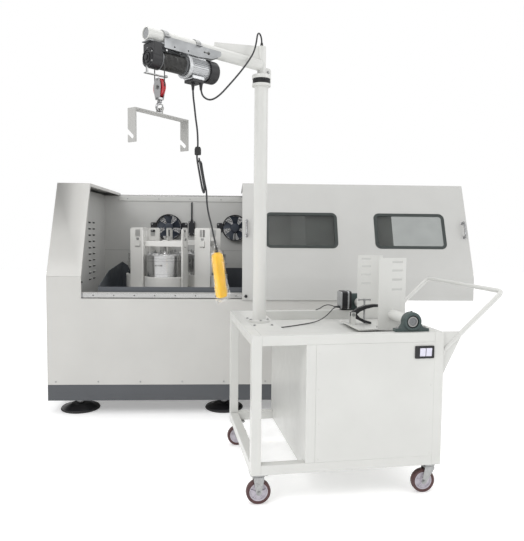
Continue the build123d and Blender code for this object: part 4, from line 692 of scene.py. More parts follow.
def rounded(width: float, height: float, radius: float, steps: int = 6,
            centre: Pair = (0.0, 0.0)) -> list[Pair]:
    """Outline of a rectangle with round corners.

    Args:
        width: Size along the first axis.
        height: Size along the second axis.
        radius: Radius of the corners.
        steps: Steps in each corner.
        centre: Middle of the rectangle.

    Returns:
        Its corners in order.
    """
    outline: list[Pair] = []
    for side_x, side_y, start in ((1, 1, 0), (-1, 1, 90), (-1, -1, 180), (1, -1, 270)):
        for step in range(steps + 1):
            angle = math.radians(start + 90 * step / steps)
            outline.append((centre[0] + (side_x * (width / 2 - radius) + radius * math.cos(angle)),
                            centre[1] + (side_y * (height / 2 - radius) + radius * math.sin(angle))))
    return outline


def mirrored(half: Sequence[Pair]) -> list[Pair]:
    """Closed lathe profile from its upper half, where a point at height 0 is used once."""
    return [(r, -h) for r, h in half] + [(r, h) for r, h in reversed(half) if h]


def thread(start: float, turns: int, root: float, crest: float) -> list[Pair]:
    """Ridges of a screw thread in a lathe profile, from a height upwards."""
    return [(radius, start + THREAD_STEP * (2 * turn + step))
            for turn in range(turns) for step, radius in enumerate((root, crest))]


def arc(centre: Pair, radius: float, start: float, end: float, steps: int = 12) -> list[Pair]:
    """Points of an arc between two angles in degrees."""
    angles = [math.radians(start + (end - start) * i / steps) for i in range(steps + 1)]
    return [(centre[0] + radius * math.cos(a), centre[1] + radius * math.sin(a)) for a in angles]


class Assembly:
    """Base of the sub-assemblies: sets finished pieces in the row frame on their body."""

    frame: Matrix = MILL
    body: str = "mill"
    nodes: tuple[str, ...] = ()

    def fit(self, name: str, finish: Finish, *pieces: Piece, body: str | None = None,
            frame: Matrix | None = None, nodes: tuple[str, ...] | None = None,
            slot: str | None = None) -> Piece:
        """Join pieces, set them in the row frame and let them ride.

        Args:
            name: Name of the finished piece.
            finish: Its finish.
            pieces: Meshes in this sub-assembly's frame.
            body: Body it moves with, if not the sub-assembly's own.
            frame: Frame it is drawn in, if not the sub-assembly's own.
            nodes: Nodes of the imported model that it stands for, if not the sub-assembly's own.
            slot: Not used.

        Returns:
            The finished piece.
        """
        piece = Bench.join(*pieces)
        piece.name = name
        piece.data.name = name
        piece.data.transform(frame or self.frame)
        piece.data.update()
        bpy.ops.object.shade_smooth_by_angle(angle=math.radians(SMOOTH_ANGLE))
        Bench.modify(piece, "WEIGHTED_NORMAL", keep_sharp=True, weight=100)
        piece.data.materials.clear()
        piece.data.materials.append(finish.material())
        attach(piece, body or self.body)
        replaced = self.nodes if nodes is None else nodes
        if replaced:
            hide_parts(*replaced)
        LOG.info("%s: %d faces", name, len(piece.data.polygons))
        return piece

    def build(self) -> None:
        """Make every piece of the sub-assembly."""
        raise NotImplementedError


@dataclass
class Studio:
    """Pale floor and backdrop, soft light and the camera."""

    camera_place: Point = (1.38, -4.269, 1.371)
    heading: float = -2.661
    pitch: float = 3.9
    roll: float = 0.539
    lens: float = 38.42
    floor_size: float = 30.0
    floor_glow: float = 0.3
    front_shade: float = 0.62

    def build_camera(self) -> None:
        """Camera at the photograph's viewpoint."""
        data = bpy.data.cameras.new("camera")
        data.lens = self.lens
        data.sensor_width = 36.0
        data.clip_start = 0.05
        data.clip_end = 100.0
        camera = spawn("camera", data)
        turn = (Matrix.Rotation(math.radians(self.heading), 4, "Z")
                @ Matrix.Rotation(math.radians(90 - self.pitch), 4, "X")
                @ Matrix.Rotation(math.radians(self.roll), 4, "Z"))
        camera.matrix_world = MILL @ Matrix.Translation(self.camera_place) @ turn
        bpy.context.scene.camera = camera

    def build_floor(self) -> None:
        """White floor that fades into the backdrop."""
        Bench.clear()
        bpy.ops.mesh.primitive_plane_add(size=self.floor_size, location=(0, 0, -0.0005))
        floor = Bench.bake(bpy.context.object)
        floor.name = "floor"
        surface = Surface("pale_floor").set(Roughness=0.55, Specular_IOR_Level=0.2)
        surface.set(Emission_Color=(1.0, 1.0, 1.0, 1.0), Emission_Strength=self.floor_glow)
        surface.tint(surface.noise(scale=1.5), (0.9, 0.9, 0.9), (0.93, 0.93, 0.93))
        floor.data.materials.append(surface.material)

    def build_light(self) -> None:
        """Even white surroundings with a large soft key from the front left."""
        world = bpy.context.scene.world or bpy.data.worlds.new("studio")
        bpy.context.scene.world = world
        world.use_nodes = True
        nodes, links = world.node_tree.nodes, world.node_tree.links
        split = nodes.new("ShaderNodeSeparateXYZ")
        links.new(nodes.new("ShaderNodeTexCoord").outputs["Generated"], split.inputs["Vector"])
        level = fill(nodes.new("ShaderNodeMapRange"), From_Min=-0.6, From_Max=0.1, To_Min=self.front_shade,
                     To_Max=1.0)
        links.new(split.outputs["Y"], level.inputs["Value"])
        links.new(level.outputs["Result"], nodes["Background"].inputs["Strength"])
        fill(nodes["Background"], Color=(1.0, 1.0, 1.0, 1.0))
        for name, place, aim, size, power in (
                ("key", (-3.0, -4.5, 4.6), (0.0, 0.2, 0.9), 3.0, 130.0),
                ("fill", (4.2, -3.0, 3.2), (0.3, 0.0, 0.9), 3.0, 45.0),
                ("top", (0.0, 0.2, 5.2), (0.0, 0.2, 0.0), 4.0, 40.0)):
            data = bpy.data.lights.new(name, "AREA")
            data.shape = "SQUARE"
            data.size = size
            data.energy = power
            lamp = spawn(name, data)
            lamp.location = place
            lamp.rotation_euler = (Vector(aim) - Vector(place)).to_track_quat("-Z", "Y").to_euler()

    def build(self) -> None:
        """Camera, floor and light."""
        self.build_camera()
        self.build_floor()
        self.build_light()
        bpy.context.scene.view_settings.view_transform = "Standard"


@dataclass
class Route:
    """Free cord as a smooth line through the control points of its route."""

    name: str
    frame: Matrix
    points: Sequence[Point]
    radius: float
    body: str
    nodes: Sequence[str]

    def build(self) -> Piece:
        """Make the cord as a curve of one open spline."""
        curve = bpy.data.curves.new(self.name, "CURVE")
        curve.dimensions = "3D"
        curve.bevel_depth = self.radius
        curve.bevel_resolution = 5
        curve.resolution_u = 10
        curve.use_fill_caps = True
        spline = curve.splines.new("NURBS")
        spline.points.add(len(self.points) - 1)
        for point, place in zip(spline.points, self.points):
            point.co = (*(self.frame @ Vector(place)), 1.0)
        spline.order_u = 3
        spline.use_endpoint_u = True
        cord = spawn(self.name, curve)
        curve.materials.append(Finish.CORD.material())
        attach(cord, self.body)
        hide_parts(*self.nodes)
        return cord


@dataclass
class Cords(Assembly):
    """Pendant cord with its folded spare length, the hoist's power cord and two loose leads."""

    frame = JIB
    body = "jib"
    cord_radius: float = 0.0045
    hank_top: Point = (0.437, 0.0, 1.752)
    hank_bottom: Point = (0.389, 0.0, 1.548)
    hank_ring: float = 0.01
    hank_order: tuple[int, ...] = (0, 2, 4, 1, 3)

    def hank_points(self) -> list[Point]:
        """Control points of the folds, drawn in under the sleeve and looser lower down."""
        top, bottom = Vector(self.hank_top), Vector(self.hank_bottom)
        along = (bottom - top).normalized()
        side = Vector((0, 1, 0))
        front = along.cross(side).normalized()
        length = (bottom - top).length
        points: list[Point] = []
        for turn, slot in enumerate(self.hank_order):
            angle = math.radians(90 + slot * 360 / len(self.hank_order))
            offset = side * (self.hank_ring * math.cos(angle)) + front * (self.hank_ring * math.sin(angle))
            high = 0.012 + 0.006 * turn
            low = length - 0.012 - 0.009 * (turn % 3)
            down = (high, length * 0.35, length * 0.7, low)
            up = (low - 0.004, length * 0.6, length * 0.3, high)
            for level in up if turn % 2 else down:
                wave = 1.0 + 0.12 * math.sin(9 * level * 10 + turn)
                points.append(tuple(top + along * level + offset * wave))
        return points

    def build(self) -> None:
        """Make every cord."""
        tail = ((0.366, 0.0, 1.452), (0.346, 0.0, 1.394), (0.331, 0.0, 1.338), (0.3165, 0.0, 1.2917),
                (0.312, 0.0, 1.262))
        start = ((0.468, 0.0, 2.086), (0.468, 0.0, 2.044), (0.459, 0.0, 1.99), (0.451, 0.0, 1.93),
                 (0.44, 0.0, 1.872), (0.437, 0.0, 1.822), (0.437, 0.0, 1.79))
        points = [*start, *self.hank_points(), (0.3787, 0.0, 1.5087), *tail]
        pendant = Route("pendant_cord_line", JIB, points, self.cord_radius, "jib",
                        ("pendant_cord", "pendant_hank", "pendant_tail")).build()
        sleeve = self.fit("cord_sleeve", Finish.RUBBER, Bench.turned((
            (0.0, 1.79), (0.0105, 1.79), (0.014, 1.786), (0.0165, 1.778), (0.0165, 1.756), (0.0155, 1.75),
            (0.0, 1.75)), (0.437, 0.0, 0.0)), slot="cord_rubber")
        power_points = (
            (0.44, 0.028, 2.086), (0.44, 0.028, 2.06), (0.428, 0.031, 2.032), (0.388, 0.036, 2.02),
            (0.336, 0.042, 2.05), (0.27, 0.046, 2.118), (0.202, 0.048, 2.19), (0.14, 0.047, 2.262),
            (0.1, 0.046, 2.318), (0.074, 0.036, 2.376), (0.0647, 0.0315, 2.4097), (0.0561, 0.0273, 2.4264),
            (0.0411, 0.02, 2.436), (0.0236, 0.0115, 2.436), (0.0086, 0.0042, 2.4264), (0.0, 0.0, 2.4097),
            (0.0, 0.0, 2.377))
        power = Route("power_cord_line", JIB, power_points, self.cord_radius, "jib", ("power_cord",)).build()
        first = ((0.706, 0.866, 0.88), (0.686, 0.866, 0.88), (0.664, 0.848, 0.87), (0.634, 0.812, 0.852),
                 (0.592, 0.764, 0.834), (0.544, 0.724, 0.818), (0.492, 0.69, 0.81), (0.436, 0.654, 0.8084),
                 (0.378, 0.616, 0.8082), (0.322, 0.578, 0.8082), (0.272, 0.55, 0.8082), (0.24, 0.541, 0.8082))
        lead = Route("long_lead_line", TROLLEY, first, 0.003, "trolley", ("lead_1",)).build()
        second = ((0.706, 0.89, 0.88), (0.688, 0.89, 0.88), (0.664, 0.887, 0.891), (0.634, 0.884, 0.894),
                  (0.606, 0.881, 0.884), (0.584, 0.879, 0.868), (0.56, 0.878, 0.8632))
        short = Route("short_lead_line", TROLLEY, second, 0.003, "trolley", ("lead_2",)).build()


@dataclass
class Cabinet(Assembly):
    """Sheet-metal cabinet on its base frame, with the drip tub and the louvred liner."""

    sheets: tuple[tuple[str, Finish, float], ...] = (
        ("front_panel", Finish.CABINET, 0.0012),
        ("end_and_rear_panels", Finish.CABINET, 0.001),
        ("chamber_liners", Finish.LINER, 0.0008),
        ("drip_tub", Finish.TUB, 0.0012))
    louvre_columns: Pair = (0.79, 0.935)
    louvre_first: float = 0.93
    louvre_pitch: float = 0.055
    louvre_rows: int = 10
    plinth_height: Pair = (0.102, 0.222)
    cross_beams: Pair = (1.308, 1.508)

    def build(self) -> None:
        """Make the sheets, the plinth, the louvre lips, the wall's seam and the panel screws."""
        for node, finish, bevel in self.sheets:
            self.fit(node + "_sheet", finish, Bench.recast(node, bevel), frame=ROW, nodes=(node,))
        low, high = self.plinth_height
        rails = [Bench.box((0.0, y, low), (2.6, y + 0.06, high), 0.0025) for y in (0.0, 1.44)]
        rails += [Bench.box(
            (x, 0.06, low), (x + 0.06, 1.44, high), 0.0025) for x in (0.0, *self.cross_beams, 2.54)]
        self.fit("plinth_rails", Finish.PLINTH, *rails, nodes=("plinth_frame",))
        # Dark sheet behind the louvre slots: painted shade of the hollow behind the liner, not a part of the
        # mill.
        louvre_shade_sheet = Bench.box((0.1045, 0.786, 0.925), (0.108, 1.023, 1.455), 0.0)
        self.fit("louvre_painted_shade", Finish.DARK, louvre_shade_sheet)
        lip = self.louvre_lip()
        moves = [(0.0, y - self.louvre_columns[0], row * self.louvre_pitch)
                 for y in self.louvre_columns for row in range(self.louvre_rows)]
        self.fit("louvre_lips", Finish.LINER, *Bench.repeat(lip, moves[1:]))
        self.fit("wall_seam", Finish.MOTOR, Bench.box((0.115, 1.4055, 1.176), (2.59, 1.4073, 1.178), 0.0))
        header = Bench.box((0.256, 1.4, 1.652), (2.588, 1.4068, 1.694), 0.0012)
        self.fit("rail_cover", Finish.TROLLEY, header)
        screw = Bench.bolt((0.337, 1.4, 1.673), FRONT, 0.004, 16)
        self.fit("rail_cover_screws", Finish.ZINC,
                 *Bench.repeat(screw, [(0.3 * i, 0.0, 0.0) for i in range(1, 8)]))
        self.fit("panel_screws", Finish.ZINC, *self.panel_screws())

    def louvre_lip(self) -> Piece:
        """Pressed lip over the lowest louvre of the first column."""
        low = self.louvre_first
        profile = ((0.1125, low + 0.019), (0.114, low + 0.0195), (0.1195, low + 0.0135),
                   (0.1187, low + 0.0125), (0.113, low + 0.0165))
        start = self.louvre_columns[0]
        return Bench.plate(profile, Axis.Y, start + 0.001, start + 0.084, 0.0004, 1)

    def panel_screws(self) -> list[Piece]:
        """Round screw heads along the base of the front panel and of the left end."""
        head = Bench.bolt((0.06, 0.0, 0.245), FRONT, 0.0045, 16)
        front = Bench.repeat(head, [(0.31 * i, 0.0, 0.0) for i in range(1, 9)])
        side = Bench.bolt((0.0, 0.06, 0.245), (-1.0, 0.0, 0.0), 0.0045, 16)
        return front + Bench.repeat(side, [(0.0, 0.345 * i, 0.0) for i in range(1, 5)])


@dataclass
class Feet(Assembly):
    """Six levelling feet: rubber base, black cap, threaded stud and lock nut."""

    nodes = ("levelling_feet",)
    first: Pair = (0.2, 0.15)
    rest: tuple[Point, ...] = ((1.1, 0, 0), (2.2, 0, 0), (0, 1.2, 0), (1.1, 1.2, 0), (2.2, 1.2, 0))

    def build(self) -> None:
        """Make one foot and set the others after it."""
        place = (*self.first, 0.0)
        base = Bench.turned((
            (0, 0), (0.14, 0), (0.145, 0.004), (0.146, 0.009), (0.143, 0.0135), (0, 0.0135)), place, sides=72)
        cap = Bench.turned((
            (0, 0.0132), (0.1415, 0.0132), (0.142, 0.017), (0.1395, 0.0195), (0.136, 0.0185), (0.128, 0.0225),
            (0.124, 0.0215), (0.078, 0.041), (0.07, 0.0445), (0.062, 0.046), (0.034, 0.046), (0.032, 0.044),
            (0, 0.044)), place, sides=72)
        ridges = thread(0.044, 19, 0.0142, 0.0158)
        stud = Bench.turned(((0, 0.043), *ridges, (0.0142, 0.103), (0, 0.103)), place, sides=24)
        nut = Bench.rod((*self.first, 0.0545), (*self.first, 0.0705), 0.026, 6, 0.0015)
        washer = Bench.rod((*self.first, 0.0705), (*self.first, 0.0735), 0.03, 32, 0.0006)
        self.fit("foot_bases", Finish.RUBBER, *Bench.repeat(base, self.rest))
        self.fit("foot_caps", Finish.BLACK, *Bench.repeat(cap, self.rest))
        hardware = [*Bench.repeat(stud, self.rest), *Bench.repeat(nut, self.rest),
                    *Bench.repeat(washer, self.rest)]
        self.fit("foot_studs", Finish.ZINC, *hardware)


@dataclass
class GuideRails(Assembly):
    """Ground rails on which the hood slides, with their screws, stops and buffer."""

    nodes = ("guide_rails",)
    span: Pair = (0.262, 2.59)
    front_profile: tuple[Pair, ...] = (
        (0.02, 0.873), (0.016, 0.873), (0.0145, 0.8755), (0.0125, 0.8755), (0.011, 0.873), (0.008, 0.873),
        (0.008, 0.903), (0.011, 0.903), (0.0125, 0.9005), (0.0145, 0.9005), (0.016, 0.903), (0.02, 0.903))
    rear_profile: tuple[Pair, ...] = (
        (1.43, 1.7), (1.43, 1.703), (1.4325, 1.705), (1.4325, 1.709), (1.43, 1.711), (1.431, 1.714),
        (1.449, 1.714), (1.45, 1.711), (1.4475, 1.709), (1.4475, 1.705), (1.45, 1.703), (1.45, 1.7))
    screw_start: float = 0.337
    screw_pitch: float = 0.15
    screw_count: int = 16

    def build(self) -> None:
        """Make both rails and what is fixed to them."""
        rails = [Bench.plate(profile, Axis.X, *self.span, 0.0004)
                 for profile in (self.front_profile, self.rear_profile)]
        self.fit("guide_bars", Finish.RAIL, *rails)
        moves = [(self.screw_pitch * i, 0.0, 0.0) for i in range(1, self.screw_count)]
        socket = ((0, -0.0004), (0.0012, -0.0004), (0.0024, 0.0008), (0.0042, 0.0008), (0.0048, 0.0002),
                  (0.0048, -0.001), (0, -0.001))
        heads = Bench.repeat(Bench.turned(socket, (self.screw_start, 0.008, 0.888), FRONT, 16), moves)
        heads += Bench.repeat(Bench.turned(socket, (self.screw_start, 1.44, 1.714), UP, 16), moves)
        self.fit("guide_screws", Finish.BLACK, *heads)
        stops = [Bench.box((start, y[0], z[0]), (end, y[1], z[1]), 0.001)
                 for start, end in ((0.2512, 0.2612), (2.5905, 2.597))
                 for y, z in (((0.004, 0.02), (0.873, 0.903)), ((1.43, 1.45), (1.7, 1.714)))]
        self.fit("guide_stops", Finish.ZINC, *stops)
        buffer = Bench.turned((
            (0, 0), (0.005, 0), (0.005, 0.002), (0.007, 0.003), (0.0065, 0.007), (0.004, 0.009), (0, 0.009)),
            (0.2508, 0.012, 0.985), OUT, 24)
        self.fit("hood_buffer", Finish.RUBBER, buffer)


@dataclass
class Hood(Assembly):
    """Sliding hood with two sealed windows, pull handles, a latch knob and its guide carriages."""

    body = "hood"
    nodes = ("hood_fittings",)
    left: float = 1.432
    length: float = 1.745
    corner_shares: Pair = (0.2019, 0.674)
    slope_angle: float = math.radians(23.08)
    slope_origin: Pair = (0.148935, 1.3755)
    window_places: Pair = (1.885, 2.724)
    window_hole: Pair = (0.53, 0.27066)
    handle_places: Pair = (1.466, 3.143)
    carriage_starts: Pair = (1.462, 2.492)

    def slope(self, x: float) -> Matrix:
        """Frame on the hood's sloping face: Y up the slope, Z outwards."""
        sine, cosine = math.sin(self.slope_angle), math.cos(self.slope_angle)
        turn = Matrix(((1, 0, 0), (0, sine, -cosine), (0, cosine, sine))).to_4x4()
        return MILL @ Matrix.Translation((x, *self.slope_origin)) @ turn

    def build(self) -> None:
        """Make the shell and everything on it."""
        self.build_sheet()
        for number, x in enumerate(self.window_places, 1):
            frame = self.slope(x)
            seal = Bench.plate(self.window(0.024, 0.044), Axis.Z, 0.0092, 0.017, 0.0)
            seal = Bench.cut(seal, Bench.plate(self.window(-0.024, 0.02), Axis.Z, 0.0, 0.03, 0.0))
            self.fit(f"window_seal_{number}", Finish.GASKET, Bench.round_edges(seal, 0.0022, 3), frame=frame,
                     nodes=("hood_windows",))
            pane = Bench.plate(self.window(-0.004, 0.03), Axis.Z, 0.0051, 0.009, 0.0006)
            self.fit(f"window_pane_{number}", Finish.GLASS, pane, frame=frame, nodes=("hood_windows",))
        for number, x in enumerate(self.handle_places, 1):
            low, high = -0.04946, 0.06854
            grip = Bench.pipe((
                (0, low, 0.0145), (0, low, 0.052), (0, high, 0.052), (0, high, 0.0145)), 0.008, 0.014, 8)
            flange = Bench.turned((
                (0, 0), (0.0135, 0), (0.0135, 0.0022), (0.0095, 0.0045), (0, 0.0045)), (0, low, 0.0142), UP,
                32)
            self.fit(f"pull_handle_{number}", Finish.CHROME, grip,
                     *Bench.repeat(flange, [(0, high - low, 0)]), frame=self.slope(x))
        self.build_carriages()
        knob = Bench.turned((
            (0, 0), (0.006, 0), (0.006, 0.006), (0.0115, 0.0075), (0.012, 0.01), (0.0115, 0.014),
            (0.009, 0.016), (0, 0.016)), (1.46, -0.0142, 0.889), FRONT, 32)
        self.fit("latch_knob", Finish.BLACK, knob)

    def window(self, margin: float, radius: float, steps: int = 10) -> list[Pair]:
        """Outline of a window that is larger than its hole by a margin."""
        return rounded(self.window_hole[0] + margin, self.window_hole[1] + margin, radius, steps)

    def section(self, inset: float) -> list[Pair]:
        """Corners of the hood's outside, moved in by an inset: at both bends by a share of it."""
        slant, level = (share * inset for share in self.corner_shares)
        return [(-0.014 + inset, 0.861), (-0.014 + inset, 1.02886 - slant), (0.29075 + level, 1.744 - inset),
                (1.48, 1.744 - inset)]

    def build_sheet(self) -> None:
        """Bent sheet of front, slope and roof, with the window holes and a fold at each end."""
        right = self.left + self.length
        outside = self.section(0.0)
        sheet = Bench.plate([*outside, *reversed(self.section(0.003))], Axis.X, self.left, right, 0.0)
        for x in self.window_places:
            hole = Bench.plate(self.window(0.0, 0.032, 8), Axis.Z, -0.02, 0.04, 0.0)
            hole.data.transform(MILL.inverted() @ self.slope(x))
            Bench.cut(sheet, hole)
        sheet = Bench.round_edges(sheet, 0.0008)
        fold = [*self.section(0.0029), *reversed(self.section(0.01))]
        folds = [Bench.plate(fold, Axis.X, x + 0.0002, x + 0.0028, 0.0004, 1)
                 for x in (self.left, right - 0.003)]
        self.fit("hood_sheet", Finish.HOOD, sheet, *folds, nodes=("hood_shell",))

    def build_carriages(self) -> None:
        """Two carriages on each rail, with dark end seals and their screws."""
        front = ((-0.0108, 0.869), (-0.0108, 0.908), (0.0197, 0.908), (0.0197, 0.9033), (0.0077, 0.9033),
                 (0.0077, 0.8727), (0.0197, 0.8727), (0.0197, 0.869))
        rear = ((1.415, 1.7003), (1.4297, 1.7003), (1.4297, 1.7143), (1.4503, 1.7143), (1.4503, 1.7003),
                (1.465, 1.7003), (1.465, 1.7408), (1.415, 1.7408))
        blocks, seals = [], []
        for profile in (front, rear):
            start = self.carriage_starts[0]
            move = [(self.carriage_starts[1] - start, 0.0, 0.0)]
            blocks += Bench.repeat(Bench.plate(profile, Axis.X, start + 0.006, start + 0.074, 0.001), move)
            for low, high in ((0.0, 0.0062), (0.0738, 0.08)):
                seals += Bench.repeat(Bench.plate(profile, Axis.X, start + low, start + high, 0.0006), move)
        self.fit("carriage_blocks", Finish.STEEL, *blocks)
        self.fit("carriage_seals", Finish.DARK, *seals)


@dataclass
class Stations(Assembly):
    """Four planet stations on the carrier, each with a jar and a clamped lid."""

    post_half: float = 0.066
    post_top: float = 1.392
    post_windows: tuple[Pair, ...] = ((1.229, 1.284), (1.316, 1.375))
    post_fold: float = 0.004

    def build(self) -> None:
        """Make one of each piece and set a copy of it in every station."""
        parts = (("jar_cup", Finish.CARRIER, "planet", "station", self.cup()),
                 ("jar_posts", Finish.CARRIER, "planet", "station", self.posts()),
                 ("clamp_beam", Finish.CARRIER, "planet", "station", self.beam()),
                 ("lift_pins", Finish.STEEL, "planet", "station", self.pins()),
                 ("jar_body", Finish.JAR, "planet", "jar", self.jar()),
                 ("jar_rings", Finish.STEEL, "planet", "jar", self.rings()),
                 ("lid_disc", Finish.JAR, "lid", "jar_lid", self.lid()),
                 ("lid_bolts", Finish.ZINC, "lid", "jar_lid", self.lid_bolts()),
                 ("lid_screw", Finish.STEEL, "lid", "jar_lid", self.screw()))
        for index in range(STATION_COUNT):
            number = index + 1
            for name, finish, body, node, piece in parts:
                self.fit(f"{name}_{number}", finish, Bench.copy(piece), body=f"{body}_{number}",
                         frame=station_frame(index), nodes=(f"{node}_{number}",))
            low = 0.796 + 0.012 * index
            shaft = Bench.rod((0, 0, 0.794), (0, 0, 0.8855), 0.02, 32, 0.001)
            pulley = Bench.turned((
                (0, low), (0.0485, low), (0.05, low + 0.0015), (0.0485, low + 0.0022), (0.0485, low + 0.0088),
                (0.05, low + 0.0095), (0.0485, low + 0.011), (0, low + 0.011)), sides=40)
            self.fit(f"planet_shaft_{number}", Finish.STEEL, shaft, pulley, body=f"planet_{number}",
                     frame=station_frame(index), nodes=(f"station_{number}",))
        for *_, piece in parts:
            bpy.data.objects.remove(piece)
        cap = Bench.turned((
            (0, 0.8701), (0.062, 0.8701), (0.064, 0.873), (0.064, 0.88), (0.06, 0.884), (0, 0.884)),
            (*CARRIER_CENTRE, 0.0))
        self.fit("carrier_cap", Finish.CARRIER, cap, body="carrier_group")
        head = Bench.bolt((CARRIER_CENTRE[0] + 0.084, CARRIER_CENTRE[1], 0.8701), UP, 0.007)
        bolts = Bench.around(head, 8, (*CARRIER_CENTRE, 0.0))
        centre = Bench.bolt((*CARRIER_CENTRE, 0.884), UP, 0.014)
        self.fit("carrier_bolts", Finish.ZINC, *bolts, centre, body="carrier_group")

    def cup(self) -> Piece:
        """Cup that holds the foot of the jar."""
        return Bench.turned((
            (0, 0.885), (0.16, 0.885), (0.164, 0.889), (0.164, 0.905), (0.1625, 0.9065), (0.1625, 0.9095),
            (0.164, 0.911), (0.164, 0.985), (0.1655, 0.987), (0.1655, 0.998), (0.1635, 1.0), (0.154, 1.0),
            (0.152, 0.998), (0.152, 0.8975), (0, 0.8975)), sides=72)

    def posts(self) -> Piece:
        """Two windowed posts with folded edges, welded to the cup."""
        width, top = self.post_half, self.post_top
        outline = ((-width, 0.885), (width, 0.885), (width, top - 0.012), (width - 0.012, top),
                   (-width + 0.012, top), (-width, top - 0.012))
        web = Bench.plate(outline, Axis.Y, 0.1668, 0.171, 0.0)
        for low, high in self.post_windows:
            slot = rounded(0.043, high - low, 0.004, 4, (0.0, (low + high) / 2))
            Bench.cut(web, Bench.plate(slot, Axis.Y, 0.15, 0.19, 0.0))
        web = Bench.round_edges(web, 0.0008)
        fold = self.post_fold
        lips = [Bench.box(
            (x, 0.16, 0.89), (x + fold, 0.17, top - 0.013), 0.0009) for x in (-width, width - fold)]
        pad = Bench.box((-0.056, 0.1585, 0.892), (0.056, 0.168, 0.984), 0.002)
        side = Bench.join(web, *lips, pad)
        return Bench.join(*Bench.around(side, 2))

    def beam(self) -> Piece:
        """Beam across the posts, with a boss for the clamp screw."""
        bar = Bench.box((-0.02, -0.1788, 1.2393), (0.02, 0.1788, 1.2837), 0.003, 3)
        bore = Bench.rod((0, 0, 1.2), (0, 0, 1.32), 0.0124, 32)
        boss = Bench.turned((
            (0.0124, 1.2832), (0.0225, 1.2832), (0.0225, 1.2905), (0.021, 1.292), (0.0124, 1.292)), sides=40,
            ring=True)
        return Bench.join(Bench.cut(bar, bore), boss)

    def pins(self) -> Piece:
        """Lift pins on the outside of the posts."""
        pin = Bench.turned((
            (0, 0), (0.0125, 0), (0.0125, 0.0022), (0.008, 0.0028), (0.008, 0.0108), (0.007, 0.0118),
            (0, 0.0118)), (0, 0.1711, 1.3), BACK, 32)
        return Bench.join(*Bench.around(pin, 2))

    def jar(self) -> Piece:
        """Steel jar with two shallow bands."""
        return Bench.turned((
            (0, 0.8973), (0.145, 0.8973), (0.1495, 0.9015), (0.1495, 1.022), (0.1485, 1.023),
            (0.1485, 1.0245), (0.1495, 1.0255), (0.1495, 1.122), (0.1478, 1.1235), (0.1478, 1.1265),
            (0.1498, 1.128), (0.1498, 1.148), (0.148, 1.15), (0.1412, 1.15), (0.14, 1.1488), (0.14, 0.91),
            (0.137, 0.907), (0, 0.907)), sides=96)

    def rings(self) -> Piece:
        """Lifting loops on the jar's two free sides."""
        loop = Bench.pipe((
            (0.148, -0.024, 1.094), (0.161, -0.024, 1.094), (0.161, 0.024, 1.094), (0.148, 0.024, 1.094)),
            0.0032, 0.008, 5)
        pads = [Bench.turned(((0, 0), (0.0075, 0), (0.0068, 0.0026), (0, 0.0026)), (0.147, y, 1.094), OUT, 20)
                for y in (-0.024, 0.024)]
        side = Bench.join(loop, *pads)
        return Bench.join(*Bench.around(side, 2))

    def lid(self) -> Piece:
        """Flanged lid with its plug and a domed knob."""
        return Bench.turned((
            (0, 1.1365), (0.1375, 1.1365), (0.1395, 1.1385), (0.1395, 1.1503), (0.1495, 1.1503),
            (0.15, 1.1515), (0.15, 1.159), (0.1488, 1.16), (0.1488, 1.1615), (0.15, 1.1625), (0.15, 1.17),
            (0.1478, 1.1723), (0.118, 1.1723), (0.1165, 1.1705), (0.048, 1.1705), (0.046, 1.1723),
            (0.026, 1.1723), (0.0175, 1.179), (0.016, 1.186), (0.016, 1.194), (0.014, 1.1963), (0, 1.1963)),
            sides=96)

    def lid_bolts(self) -> Piece:
        """Ten studs with nuts round the lid's rim."""
        nut = Bench.bolt((0.132, 0, 1.1723), UP, 0.0078)
        stud = Bench.rod((0.132, 0, 1.178), (0.132, 0, 1.1975), 0.0042, 16, 0.0008)
        return Bench.join(*Bench.around(Bench.join(nut, stud), 10))

    def screw(self) -> Piece:
        """Clamp screw that presses on the lid."""
        ridges = thread(1.2, 36, 0.0108, 0.0119)
        spindle = Bench.turned((
            (0, 1.1963), (0.0115, 1.1963), *ridges, (0.0108, 1.3125), (0, 1.3125)), sides=24)
        head = Bench.rod((0, 0, 1.312), (0, 0, 1.324), 0.018, 6, 0.0015)
        return Bench.join(spindle, head)


